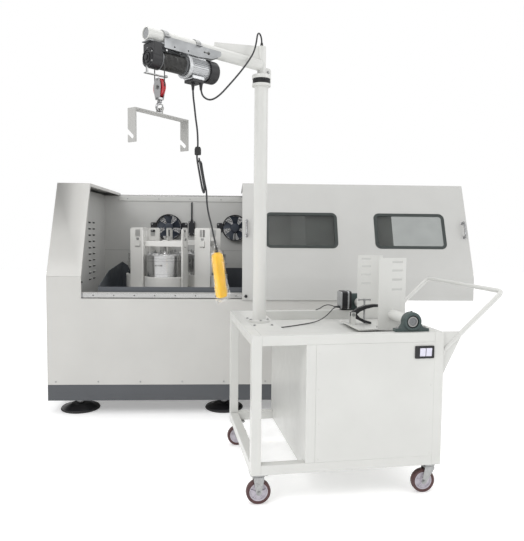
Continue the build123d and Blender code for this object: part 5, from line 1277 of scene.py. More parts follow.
@dataclass
class Fans(Assembly):
    """Two axial fans on the back wall, with a junction box and its conduit."""

    nodes = ("fan_frames",)
    centres: tuple[Pair, ...] = ((0.735, 1.4), (1.376, 1.4))
    front: float = 1.343
    guard_place: float = 1.4035
    # Rings packed nearly shut so that the guard also stands in as painted shade.
    guard_rings: int = 30
    first_ring: float = 0.026
    ring_pitch: float = 0.0032
    ring_wire: float = 0.0013
    spoke_wire: float = 0.0019
    blades: int = 5
    root_pitch: float = 42.0
    twist: float = 20.0
    root_width: float = 0.046
    widening: float = 0.046
    camber: float = 0.006
    sweep: float = 0.01
    root_radius: float = 0.04
    blade_length: float = 0.071
    blade_middle: float = 0.024

    def build(self) -> None:
        """Make the first fan, copy it and add the wiring."""
        x, z = self.centres[0]
        move = (self.centres[1][0] - x, 0.0, 0.0)
        ring = Bench.turned((
            (0.1205, 0), (0.124, -0.0006), (0.1258, 0.002), (0.1258, 0.009), (0.1235, 0.011), (0.1235, 0.056),
            (0.1258, 0.058), (0.1258, 0.0636), (0.118, 0.0636), (0.118, 0.004)), (x, self.front, z), BACK, 72,
            True)
        struts = Bench.around(Bench.box(
            (x - 0.121, 1.396, z - 0.005), (x - 0.03, 1.4066, z + 0.005), 0.001), 4, (x, 0, z), "Y")
        ear = Bench.plate(rounded(0.056, 0.092, 0.012, centre=(x + 0.15, z)), Axis.Y, 1.3992, 1.4066, 0.001)
        ears = Bench.around(ear, 2, (x, 0, z), "Y")
        frame = Bench.join(ring, *struts, *ears)
        self.fit("fan_rings", Finish.FAN, *Bench.repeat(frame, [move]))
        hub = Bench.turned((
            (0.0061, 0), (0.036, 0), (0.04, 0.003), (0.04, 0.0216), (0.0061, 0.0216)), (x, 1.385, z), BACK,
            48, True)
        self.fit("fan_motors", Finish.MOTOR, *Bench.repeat(hub, [move]))
        bolt = Bench.bolt((x + 0.164, 1.3992, z + 0.032), FRONT, 0.0055)
        corners = Bench.repeat(bolt, [(0, 0, -0.064), (-0.328, 0, 0), (-0.328, 0, -0.064)])
        self.fit("fan_bolts", Finish.ZINC, *Bench.repeat(Bench.join(*corners), [move]))
        rotor = self.rotor(x, z)
        for number, twin in enumerate(Bench.repeat(rotor, [move]), 1):
            self.fit(f"fan_wheel_{number}", Finish.FAN_BLUE, twin, body=f"fan_{number}",
                     nodes=(f"fan_rotor_{number}",))
        # Dense dark guards: a wire guard, and also painted shade that darkens the view through the fan
        # opening.
        self.fit("fan_guards_and_shade_screen", Finish.FAN, *Bench.repeat(self.guard_and_shade_screen(x, z), [move]))
        box = Bench.box((0.925, 1.3712, 1.33), (0.985, 1.4068, 1.46), 0.004, 3)
        conduit = Bench.pipe((
            (0.955, 1.393, 1.452), (0.955, 1.393, 1.64), (0.955, 1.409, 1.64)), 0.007, 0.014, 6)
        gland = Bench.rod((0.955, 1.393, 1.459), (0.955, 1.393, 1.478), 0.0115, 6, 0.001)
        self.fit("junction_box", Finish.FAN, box, conduit, gland)
        screw = Bench.bolt((0.934, 1.3712, 1.339), FRONT, 0.0035, 16)
        self.fit("junction_screws", Finish.ZINC, *Bench.repeat(screw, [
            (0.042, 0, 0), (0, 0, 0.112), (0.042, 0, 0.112)]))

    def guard_and_shade_screen(self, x: float, z: float) -> Piece:
        """Wire guard behind the wheel: rings on four spokes, packed so close that it also serves as painted
        shade behind the fan.
        """
        rings = []
        for turn in range(self.guard_rings):
            section = arc((self.first_ring + self.ring_pitch * turn, 0.0), self.ring_wire, 0, 300, 5)
            rings.append(Bench.turned(section, (x, self.guard_place, z), BACK, 48, True))
        spoke = Bench.rod(
            (x + 0.024, self.guard_place, z), (x + 0.12, self.guard_place, z), self.spoke_wire, 8)
        return Bench.join(*rings, *Bench.around(spoke, 4, (x, 0, z), "Y"))

    def rotor(self, x: float, z: float) -> Piece:
        """Hub with twisted blades, on its short shaft."""
        hub = Bench.turned((
            (0, 0), (0.03, 0.0005), (0.04, 0.003), (0.044, 0.009), (0.044, 0.034), (0.04, 0.036),
            (0.0058, 0.036), (0.0058, 0.054), (0, 0.054)), (x, self.front + 0.004, z), BACK, 48)
        Bench.clear()
        bpy.ops.mesh.primitive_grid_add(x_subdivisions=4, y_subdivisions=10, size=1.0)
        blade = bpy.context.object
        for vertex in blade.data.vertices:
            chord, out = vertex.co.x, vertex.co.y + 0.5
            pitch = math.radians(self.root_pitch - self.twist * out)
            width = self.root_width + self.widening * out
            rise = self.camber * (0.25 - chord * chord) * 4
            vertex.co = (x + chord * width * math.cos(pitch) - self.sweep * out * out,
                         self.front + self.blade_middle + chord * width * math.sin(pitch) + rise * 0.5,
                         z + self.root_radius + self.blade_length * out)
        Bench.modify(blade, "SOLIDIFY", thickness=0.0024, offset=0.0)
        return Bench.join(hub, *Bench.around(blade, self.blades, (x, 0, z), "Y"))


@dataclass
class Trolley(Assembly):
    """Tube frame with its panels, tray, push handle and mains switch."""

    frame = TROLLEY
    body = "trolley"
    tube: float = 0.05
    tube_levels: Pair = (0.16, 0.81)
    tube_rows: Pair = (0.0, 0.855)
    tube_columns: Pair = (0.0, 0.955)
    divider_x: float = 0.275
    top: float = 0.86
    rocker_x: Pair = (0.872, 0.906)

    def build(self) -> None:
        """Make the tubes, the switch, the panels and the push handle."""
        tubes = []
        size, last = self.tube, self.tube_columns[1]
        low, high = self.tube_levels
        for y in self.tube_rows:
            for x in self.tube_columns:
                tubes.append(Bench.box((x, y, low), (x + size, y + size, self.top), 0.002, 3))
            for z in self.tube_levels:
                tubes.append(Bench.box((size, y, z), (last, y + size, z + size), 0.002, 3))
            tubes.append(Bench.box(
                (self.divider_x, y, low + size), (self.divider_x + size, y + size, high), 0.002, 3))
        for x, z in ((0.0, low), (0.0, high), (last, low), (last, high), (self.divider_x, low)):
            tubes.append(Bench.box((x, size, z), (x + size, self.tube_rows[1], z + size), 0.002, 3))
        self.fit("trolley_tubes", Finish.TROLLEY, *tubes, nodes=("trolley_frame",))
        bezel = rounded(0.104, 0.065, 0.004, centre=(0.898, 0.7585))
        bezel = Bench.plate(bezel, Axis.Y, -0.0062, 0.0002, 0.0)
        for x in self.rocker_x:
            Bench.cut(bezel, Bench.box((x - 0.0006, -0.02, 0.7357), (x + 0.0306, 0.02, 0.7813), 0.0))
        self.fit("switch_bezel", Finish.BLACK, Bench.round_edges(bezel, 0.0012), nodes=("trolley_panels",))
        self.build_panels()
        for number in (1, 2):
            node = f"switch_rocker_{number}"
            self.fit(f"rocker_{number}_cap", Finish.ROCKER, Bench.recast(node, 0.0014, 3),
                     body=f"rocker_{number}", frame=ROW, nodes=(node,))
        feet = [Bench.bolt((x, y, 0.86), UP, 0.006) for x in (0.063, 0.159) for y in (0.315, 0.575)]
        self.fit("deck_bolts", Finish.ZINC, *feet)
        rivet = Bench.turned((
            (0, 0), (0.0036, 0), (0.0028, 0.0013), (0, 0.0018)), (0.34, 0, 0.225), FRONT, 16)
        moves = [(0.0 if i < 4 else 0.6, 0, 0.18 * (i % 4)) for i in range(1, 8)]
        self.fit("panel_rivets", Finish.TROLLEY, *Bench.repeat(rivet, moves))
        self.build_handle()

    def build_panels(self) -> None:
        """Closed half of the cabinet, the tray with its mouth, and the deck round the column."""
        inner, outer = (0.05, 0.855), (0.325, 0.955)
        front = Bench.box((outer[0], 0.0, 0.21), (outer[1], 0.002, 0.81), 0.0)
        for x in self.rocker_x:
            Bench.cut(front, Bench.box((x - 0.0005, -0.02, 0.7358), (x + 0.0305, 0.02, 0.7812), 0.0))
        sheets = [front,
                  Bench.box((outer[0], 0.903, 0.21), (outer[1], 0.905, 0.81), 0.0003, 1),
                  Bench.box((0.275, inner[0], 0.21), (0.277, inner[1], 0.803), 0.0003, 1),
                  Bench.box((1.003, inner[0], 0.21), (1.005, inner[1], 0.81), 0.0003, 1),
                  Bench.box((outer[0], inner[0], 0.208), (outer[1], inner[1], 0.21), 0.0003, 1)]
        floor = Bench.box((0.194, inner[0], 0.803), (outer[1], inner[1], 0.805), 0.0)
        sheets.append(Bench.cut(floor, Bench.box((0.715, 0.25, 0.79), (0.945, 0.715, 0.82), 0.0)))
        sheets += [Bench.box((x, inner[0], 0.805), (x + 0.002, inner[1], 0.86), 0.0003, 1)
                   for x in (0.194, 0.953)]
        sheets += [Bench.box((0.196, y, 0.805), (0.953, y + 0.002, 0.86), 0.0003, 1) for y in (0.05, 0.853)]
        deck = Bench.box((0.05, inner[0], 0.852), (0.194, inner[1], 0.86), 0.0)
        for x in (0.063, 0.159):
            for y in (0.315, 0.575):
                Bench.cut(deck, Bench.rod((x, y, 0.84), (x, y, 0.87), 0.006, 28))
        sheets.append(Bench.round_edges(deck, 0.0008))
        self.fit("trolley_sheets", Finish.TROLLEY, *sheets, nodes=("trolley_panels",))
        housing = Bench.box((0.852, 0.002, 0.732), (0.944, 0.04, 0.785), 0.0)
        for x in self.rocker_x:
            Bench.cut(housing, Bench.box((x - 0.0005, -0.02, 0.7358), (x + 0.0305, 0.018, 0.7812), 0.0))
        self.fit("switch_housing", Finish.BLACK, Bench.round_edges(housing, 0.0008),
                 nodes=("trolley_panels",))

    def build_handle(self) -> None:
        """Bent push handle with its gussets and clamping bolts."""
        path = ((1.004, 0.02, 0.752), (1.34, 0.02, 1.065), (1.34, 0.885, 1.065), (1.004, 0.885, 0.752))
        bar = Bench.pipe(path, 0.0125, 0.04, 8)
        gusset = Bench.plate((
            (1.005, 0.619), (1.112, 0.837), (1.094, 0.859), (1.005, 0.86)), Axis.Y, 0.017, 0.023, 0.0012)
        gussets = Bench.repeat(gusset, [(0, 0.865, 0)])
        collar = Bench.turned((
            (0, 0), (0.0205, 0), (0.0205, 0.004), (0.015, 0.01), (0, 0.01)), (1.0052, 0.02, 0.752), OUT, 32)
        self.fit("push_handle_bar", Finish.TROLLEY, bar, *gussets, *Bench.repeat(collar, [(0, 0.865, 0)]),
                 nodes=("push_handle",))


@dataclass
class Casters(Assembly):
    """Two fixed and two swivelling casters with ribbed plastic hubs."""

    frame = TROLLEY
    body = "trolley"
    radius: float = 0.0625
    rows: Pair = (0.045, 0.86)
    fixed_x: float = 0.045
    swivel_x: float = 0.958
    trail: float = 0.03

    def fork(self, wheel_x: float, top_x: float, y: float, fixed: bool) -> Piece:
        """Pressed fork with its race, top plate and axle nuts.

        Args:
            wheel_x: Place of the axle.
            top_x: Place of the race.
            y: Middle of the wheel.
            fixed: The fork is bolted down by a square plate.

        Returns:
            The new piece.
        """
        low = arc((wheel_x, self.radius), 0.015, 200, 340, 8)
        cheek = Bench.plate([*low, (top_x + 0.027, 0.129), (top_x + 0.025, 0.1395), (top_x - 0.025, 0.1395),
                            (top_x - 0.027, 0.129)], Axis.Y, y + 0.02, y + 0.023, 0.0008)
        cheeks = Bench.repeat(cheek, [(0, -0.043, 0)])
        crown = Bench.box((top_x - 0.027, y - 0.0228, 0.13), (top_x + 0.027, y + 0.0228, 0.14), 0.0035, 3)
        race = Bench.turned((
            (0, 0.1395), (0.03, 0.1395), (0.0335, 0.142), (0.0345, 0.146), (0.0325, 0.1475), (0.0325, 0.149),
            (0.035, 0.1505), (0.0358, 0.154), (0.0358, 0.1594), (0, 0.1594)), (top_x, y, 0), sides=48)
        nuts = [Bench.rod(
            (wheel_x, y + side * 0.0228, self.radius), (wheel_x, y + side * 0.0285, self.radius), 0.0088, 6,
            0.0008) for side in (-1, 1)]
        axle = Bench.rod(
            (wheel_x, y - 0.0305, self.radius), (wheel_x, y + 0.0305, self.radius), 0.0048, 20, 0.0008)
        pieces = [*cheeks, crown, race, *nuts, axle]
        if fixed:
            pieces.append(Bench.box(
                (top_x - 0.045, y - 0.038, 0.155), (top_x + 0.045, y + 0.038, 0.16), 0.0012))
            pieces += [Bench.bolt(
                (top_x + a, y + b, 0.155), DOWN, 0.005) for a in (-0.035, 0.035) for b in (-0.028, 0.028)]
        return Bench.join(*pieces)

    def tyre(self, x: float, y: float) -> Piece:
        """Tyre with rounded shoulders and shallow grooves."""
        half = ((0.047, 0.013), (0.056, 0.0152), (0.059, 0.016), (0.0612, 0.0142), (0.0622, 0.011),
                (0.0625, 0.0075), (0.0617, 0.0068), (0.0617, 0.0058), (0.0625, 0.005))
        return Bench.turned(mirrored(half), (x, y, self.radius), BACK, 72, True)

    def hub(self, x: float, y: float) -> Piece:
        """Hub with a rim, a boss and five ribs on each side."""
        half = ((0.0063, 0.016), (0.0135, 0.016), (0.0145, 0.015), (0.015, 0.007), (0.04, 0.0055),
                (0.043, 0.012), (0.0475, 0.012))
        disc = Bench.turned(mirrored(half), (x, y, self.radius), BACK, 60, True)
        rib = Bench.box((x - 0.0016, y - 0.0125, self.radius + 0.014),
                        (x + 0.0016, y + 0.0125, self.radius + 0.0425), 0.0008, 1)
        return Bench.join(disc, *Bench.around(rib, 5, (x, y, self.radius), "Y"))

    def build(self) -> None:
        """Make every caster."""
        swing_x = self.swivel_x - self.trail
        fixed = [self.fork(self.fixed_x, self.fixed_x, y, True) for y in self.rows]
        self.fit("fixed_forks", Finish.ZINC, *fixed, nodes=("trolley_frame",))
        for name, y in zip(("front", "rear"), self.rows):
            self.fit(f"{name}_swivel_fork", Finish.ZINC, self.fork(swing_x, self.swivel_x, y, False),
                     body=f"{name}_caster", nodes=(f"caster_fork_{name}",))
            self.fit(f"{name}_tyre", Finish.TYRE, self.tyre(swing_x, y), body=f"{name}_wheel",
                     nodes=(f"wheel_{name}",))
            self.fit(f"{name}_hub", Finish.HUB, self.hub(swing_x, y), body=f"{name}_wheel",
                     nodes=(f"wheel_{name}",))
        self.fit("left_tyres", Finish.TYRE, *[self.tyre(self.fixed_x, y) for y in self.rows],
                 body="left_wheels", nodes=("wheels_left",))
        self.fit("left_hubs", Finish.HUB, *[self.hub(self.fixed_x, y) for y in self.rows], body="left_wheels",
                 nodes=("wheels_left",))


@dataclass
class Column(Assembly):
    """Fixed column bolted to the trolley's deck."""

    frame = TROLLEY
    body = "trolley"
    nodes = ("column",)
    centre: Pair = (0.111, 0.445)

    def build(self) -> None:
        """Make the column and its flange bolts."""
        tube = Bench.turned((
            (0, 0.86), (0.0575, 0.86), (0.058, 0.8605), (0.058, 0.8715), (0.0575, 0.872), (0.0425, 0.872),
            (0.0388, 0.875), (0.0375, 0.879), (0.0375, 2.159), (0.0392, 2.162), (0.0515, 2.163),
            (0.052, 2.164), (0.052, 2.175), (0.0512, 2.1757), (0, 2.1757)), (*self.centre, 0), sides=64)
        self.fit("column_tube", Finish.TROLLEY, tube)
        head = Bench.bolt((self.centre[0] + 0.0495, self.centre[1], 0.872), UP, 0.0055)
        self.fit("column_bolts", Finish.ZINC, *Bench.around(head, 4, (*self.centre, 0)))


@dataclass
class Jib(Assembly):
    """Jib arm on its turning mast, with gusset plate and lug."""

    frame = JIB
    body = "jib"
    nodes = ("jib_arm",)
    arm_z: float = 2.275

    def build(self) -> None:
        """Make the mast, the arm and what is welded to them."""
        mast = Bench.turned((
            (0, 2.203), (0.0512, 2.203), (0.052, 2.204), (0.052, 2.222), (0.0512, 2.223), (0.029, 2.223),
            (0.0255, 2.226), (0.024, 2.231), (0.024, 2.3764), (0.0232, 2.377), (0.0208, 2.377),
            (0.0204, 2.376), (0.0204, 2.37), (0, 2.37)), sides=64)
        arm = Bench.turned((
            (0, 0.018), (0.03, 0.018), (0.03, 0.7388), (0.0292, 0.74), (0.0264, 0.74), (0.0258, 0.7392),
            (0.0258, 0.733), (0, 0.733)), (0, 0, self.arm_z), OUT, 64)
        gusset = Bench.plate((
            (0.0225, 2.3764), (0.333, 2.327), (0.333, 2.302), (0.0225, 2.302)), Axis.Y, -0.002, 0.002, 0.0008)
        lug = Bench.plate((
            (-0.07, 2.193), (-0.0525, 2.193), (-0.0525, 2.2234), (-0.0225, 2.2234), (-0.0225, 2.27),
            (-0.062, 2.27), (-0.07, 2.262)), Axis.Y, -0.004, 0.004, 0.001)
        beads = [Bench.pipe(((0.03, y, 2.304), (0.331, y, 2.304)), 0.0028, 0.0, 3) for y in (-0.003, 0.003)]
        self.fit("jib_tubes", Finish.TROLLEY, mast, arm, gusset, lug, *beads)
        band = Bench.turned((
            (0, 2.1762), (0.0472, 2.1762), (0.048, 2.1772), (0.048, 2.188), (0.047, 2.1888), (0.047, 2.1905),
            (0.048, 2.1913), (0.048, 2.2028), (0, 2.2028)), sides=64)
        self.fit("swivel_band", Finish.DARK, band)
        cap = Bench.turned((
            (0, 0.7328), (0.0256, 0.7328), (0.0256, 0.7352), (0.0235, 0.7362), (0.006, 0.7362),
            (0.005, 0.7354), (0, 0.7354)), (0, 0, self.arm_z), OUT, 48)
        self.fit("arm_cap", Finish.MOTOR, cap)
        screws = [Bench.bolt((-0.048, side * 0.004, 2.248), (0, side, 0), 0.006) for side in (-1, 1)]
        self.fit("lug_bolts", Finish.ZINC, *screws)
        gland = Bench.turned((
            (0, 2.3702), (0.012, 2.3702), (0.012, 2.3768), (0.0095, 2.379), (0.0088, 2.384), (0.006, 2.398),
            (0.0056, 2.3992), (0, 2.3992)), sides=32)
        self.fit("mast_gland", Finish.RUBBER, gland)


@dataclass
class Hoist(Assembly):
    """Rope hoist hung under the jib arm: motor, drum, gearbox, saddle clamps and limit lever."""

    frame = JIB
    body = "jib"
    nodes = ("hoist_body",)
    axis_z: float = 2.168
    fin_count: int = 30
    turns: int = 24

    def build(self) -> None:
        """Make every part of the hoist."""
        centre = (0, 0, self.axis_z)
        core = Bench.turned(((0, 0.39), (0.044, 0.39), (0.044, 0.5085), (0, 0.5085)), centre, OUT, 48)
        fin = Bench.box((0.396, -0.0011, self.axis_z + 0.042), (0.504, 0.0011, self.axis_z + 0.05), 0.0006, 1)
        fins = Bench.around(fin, self.fin_count, centre, "X")
        neck = Bench.box((0.4, -0.02, self.axis_z + 0.035), (0.498, 0.02, 2.2378), 0.003)
        self.fit("hoist_motor", Finish.ALUMINIUM, core, *fins, neck)
        cowl = Bench.turned((
            (0, 0.3365), (0.017, 0.3365), (0.018, 0.3345), (0.045, 0.3345), (0.052, 0.337), (0.0552, 0.342),
            (0.056, 0.348), (0.056, 0.386), (0.055, 0.3872), (0.056, 0.3884), (0.056, 0.3925), (0, 0.3925)),
            centre, OUT, 64)
        slot = Bench.box((0.32, -0.002, self.axis_z + 0.021), (0.3385, 0.002, self.axis_z + 0.043), 0.0)
        self.fit("fan_cowl", Finish.BLACK, Bench.cut(cowl, Bench.join(*Bench.around(slot, 14, centre, "X"))))
        ring = Bench.turned((
            (0, 0.508), (0.0568, 0.508), (0.058, 0.5092), (0.058, 0.515), (0.057, 0.516), (0.057, 0.518),
            (0.058, 0.519), (0.058, 0.5248), (0.0568, 0.526), (0, 0.526)), centre, OUT, 64)
        post = Bench.box((0.5142, -0.028, self.axis_z), (0.5258, 0.028, 2.2378), 0.0015)
        self.fit("motor_flange", Finish.ALUMINIUM, ring, post)
        self.build_gearbox(centre)
        self.build_box()
        self.build_carrier()
        self.build_drum(centre)

    def build_gearbox(self, centre: Point) -> None:
        """Round gear cover with stepped rings and a ring of screws."""
        cover = Bench.turned((
            (0, 0.6762), (0.046, 0.6762), (0.046, 0.726), (0.0448, 0.729), (0.0385, 0.729), (0.0378, 0.7325),
            (0.033, 0.7335), (0.0322, 0.73), (0.024, 0.73), (0.0232, 0.735), (0.02, 0.7385), (0.019, 0.736),
            (0.012, 0.736), (0.0112, 0.741), (0.009, 0.742), (0, 0.742)), centre, OUT, 64)
        shoulder = Bench.box((0.6762, -0.044, self.axis_z), (0.725, 0.044, 2.2378), 0.004, 3)
        self.fit("gear_cover", Finish.BLACK, cover, shoulder)
        head = Bench.bolt((0.729, 0, self.axis_z + 0.0418), OUT, 0.0032)
        self.fit("gear_screws", Finish.ZINC, *Bench.around(head, 6, centre, "X"))

    def build_box(self) -> None:
        """Capacitor and terminal box under the motor, with the cords' glands."""
        lid = Bench.box((0.425, -0.034, 2.11), (0.5, 0.04, 2.129), 0.004, 3)
        tray = Bench.box((0.427, -0.032, 2.0965), (0.498, 0.038, 2.11), 0.0025, 3)
        self.fit("terminal_lid", Finish.ALUMINIUM, lid)
        gland = ((0, 2.0985), (0.0105, 2.0985), (0.0105, 2.093), (0.0092, 2.0915), (0.0088, 2.087),
                 (0.007, 2.076), (0.0058, 2.064), (0.005, 2.063), (0, 2.063))
        glands = [Bench.turned(gland, (x, y, 0), sides=28) for x, y in ((0.468, 0.0), (0.44, 0.028))]
        self.fit("terminal_box", Finish.BLACK, tray, *glands)
        lever = Bench.box((0.621, -0.009, 2.0942), (0.746, 0.009, 2.0988), 0.0012)
        link = Bench.box((0.728, -0.006, 2.098), (0.736, 0.006, 2.13), 0.0012)
        guide = Bench.box((0.658, -0.058, 2.1682), (0.69, -0.048, 2.1798), 0.0012)
        finger = Bench.box((0.658, -0.05, 2.1682), (0.668, -0.0392, 2.1798), 0.0008)
        arm = Bench.box((0.678, -0.058, 2.1682), (0.69, -0.03, 2.1798), 0.0012)
        weight = Bench.rod((0.627, 0, 2.0988), (0.627, 0, 2.104), 0.008, 24, 0.0012)
        self.fit("limit_lever", Finish.ZINC, lever, link, guide, finger, arm, weight)

    def build_carrier(self) -> None:
        """Bracket that straddles the arm, with a keyhole in each side, and two saddle clamps."""
        deck = Bench.box((0.334, -0.031, 2.238), (0.74, 0.031, 2.243), 0.001)
        outline = ((0.658, 2.275), (0.658, 2.224), (0.656, 2.222), (0.456, 2.22), (0.37, 2.228),
                   (0.318, 2.251), (0.315, 2.254), (0.315, 2.275))
        cheek = Bench.plate(outline, Axis.Y, 0.031, 0.0332, 0.0)
        keyhole = Bench.rod((0.396, 0.02, 2.25), (0.396, 0.05, 2.25), 0.008, 28)
        slot = Bench.box((0.396, 0.02, 2.2465), (0.426, 0.05, 2.2535), 0.0)
        holes = [Bench.rod((x, 0.02, 2.235), (x, 0.05, 2.235), 0.0045, 20) for x in (0.52, 0.6)]
        cheek = Bench.round_edges(Bench.cut(cheek, keyhole, slot, *holes), 0.0005)
        cheeks = Bench.repeat(cheek, [(0, -0.0642, 0)])
        self.fit("hoist_bracket", Finish.GALVANISED, deck, *cheeks)
        outer = arc((0, 2.275), 0.0345, 0, 180, 20)
        inner = arc((0, 2.275), 0.0306, 180, 0, 20)
        strap = Bench.plate([
            (0.048, 2.271), (0.048, 2.2745), *outer, (-0.048, 2.2745), (-0.048, 2.271), (-0.034, 2.271),
            *inner, (0.034, 2.271)], Axis.X, 0.4412, 0.4688, 0.0006)
        self.fit("saddle_clamps", Finish.ZINC, *Bench.repeat(strap, [(0.189, 0, 0)]))
        head = Bench.bolt((0.455, 0.041, 2.2746), UP, 0.0045)
        moves = [(0, -0.082, 0), (0.189, 0, 0), (0.189, -0.082, 0)]
        self.fit("saddle_bolts", Finish.STEEL, *Bench.repeat(head, moves))

    def build_drum(self, centre: Point) -> None:
        """Flanged drum with the rope wound on it in one layer."""
        profile = (
            (0, 0.509), (0.0078, 0.509), (0.0078, 0.528), (0.0455, 0.528), (0.047, 0.529), (0.047, 0.5312),
            (0.0455, 0.5322), (0.0378, 0.5322), (0.0378, 0.6698), (0.0455, 0.6698), (0.047, 0.6708),
            (0.047, 0.6732), (0.0455, 0.674), (0.0078, 0.674), (0.0078, 0.691), (0, 0.691))
        drum = Bench.turned(profile, centre, OUT, 56)
        self.fit("drum_spool", Finish.CAST, drum, body="drum", nodes=("hoist_drum",))
        start, length, radius, steps = 0.535, 0.1245, 0.04, 22
        helix = [(start + length * i / (self.turns * steps), radius * math.cos(math.tau * i / steps),
                  self.axis_z + radius * math.sin(math.tau * i / steps))
                 for i in range(self.turns * steps + 1)]
        self.fit("rope_winding", Finish.ROPE, Bench.pipe(helix, 0.0025, 0.0, 2), body="drum",
                 nodes=("hoist_drum",))


@dataclass
class HookBlock(Assembly):
    """Lower block with a red sheave between chromed cheeks, and a snap hook."""

    frame = JIB @ Matrix.Translation((0.664, 0.0, 0.0))
    body = "hook"
    nodes = ("hook_block",)
    sheave_z: float = 2.042
    eye_z: float = 1.95
    ring: float = 0.017
    wire: float = 0.0065

    def build(self) -> None:
        """Make the block and the hook."""
        z = self.sheave_z
        outline = [(a, z + b) for a, b in (
            (-0.0135, -0.058), (0.0135, -0.058), (0.027, -0.018), (0.03, 0.0), (0.027, 0.018), (0.0165, 0.04),
            (0.013, 0.042), (-0.013, 0.042), (-0.0165, 0.04), (-0.027, 0.018), (-0.03, 0.0),
            (-0.027, -0.018))]
        cheek = Bench.plate(outline, Axis.X, -0.0148, -0.0102, 0.001)
        spacer = Bench.rod((-0.0148, 0, 2.0775), (0.0148, 0, 2.0775), 0.0048, 20)
        yoke = Bench.box((-0.0148, -0.013, 1.9842), (0.0148, 0.013, 1.9962), 0.002, 3)
        self.fit("block_cheeks", Finish.CHROME, *Bench.repeat(cheek, [(0.025, 0, 0)]), spacer, yoke)
        half = ((0.0083, 0.008), (0.0418, 0.008), (0.0427, 0.0068), (0.0425, 0.005), (0.0385, 0.0026),
                (0.0378, 0.0))
        sheave = Bench.turned(mirrored(half), (0, 0, z), OUT, 64, True)
        self.fit("block_sheave", Finish.RED, sheave)
        bolts = [Bench.bolt((side * 0.0148, 0, z), (side, 0, 0), 0.0085) for side in (-1, 1)]
        pin = Bench.rod((-0.015, 0, z), (0.015, 0, z), 0.0078, 24)
        small = [Bench.bolt((side * 0.0148, 0, 2.0775), (side, 0, 0), 0.0036) for side in (-1, 1)]
        self.fit("block_bolts", Finish.STEEL, *bolts, pin, *small)
        self.build_hook()

    def build_hook(self) -> None:
        """Forged hook with its collar and sprung latch."""
        bow = [(x, 0.0, z) for x, z in arc((0, self.eye_z), self.ring, 90, -188, 40)]
        bend = Bench.pipe(bow, self.wire - 0.0002, 0.0, 8)
        shank = Bench.turned((
            (0, 1.964), (0.0068, 1.965), (0.0072, 1.97), (0.011, 1.9715), (0.0118, 1.9735), (0.0118, 1.979),
            (0.0105, 1.9805), (0.0072, 1.981), (0.0072, 1.9845), (0, 1.9845)), sides=32)
        tip = Bench.turned((
            (0, -0.0015), (0.006, -0.001), (0.0061, 0.0008), (0.004, 0.0034), (0, 0.0042)), bow[-1],
            (0.05, 0.0, 1.0), 24)
        self.fit("snap_hook", Finish.CHROME, bend, shank, tip)
        low, high = self.eye_z, self.eye_z + 0.0168
        latch = Bench.plate((
            (-0.0192, low), (-0.0165, low), (-0.016, high - 0.004), (-0.005, high - 0.0026), (-0.005, high),
            (-0.017, high - 0.0005), (-0.0188, high - 0.003)), Axis.Y, -0.004, 0.004, 0.0004)
        pivot = Bench.rod((-0.0055, -0.0085, high - 0.0012), (-0.0055, 0.0085, high - 0.0012), 0.0022, 16)
        self.fit("hook_latch", Finish.ZINC, latch, pivot)


@dataclass
class Bail(Assembly):
    """Lifting bail that takes a jar by its two pins."""

    frame = BAIL
    body = "bail"
    rounding: float = 0.001

    def build(self) -> None:
        """Make the bail with its edges rounded."""
        self.fit("bail_plate", Finish.BAIL, Bench.recast("lifting_bail", self.rounding), frame=ROW,
                 nodes=("lifting_bail",))


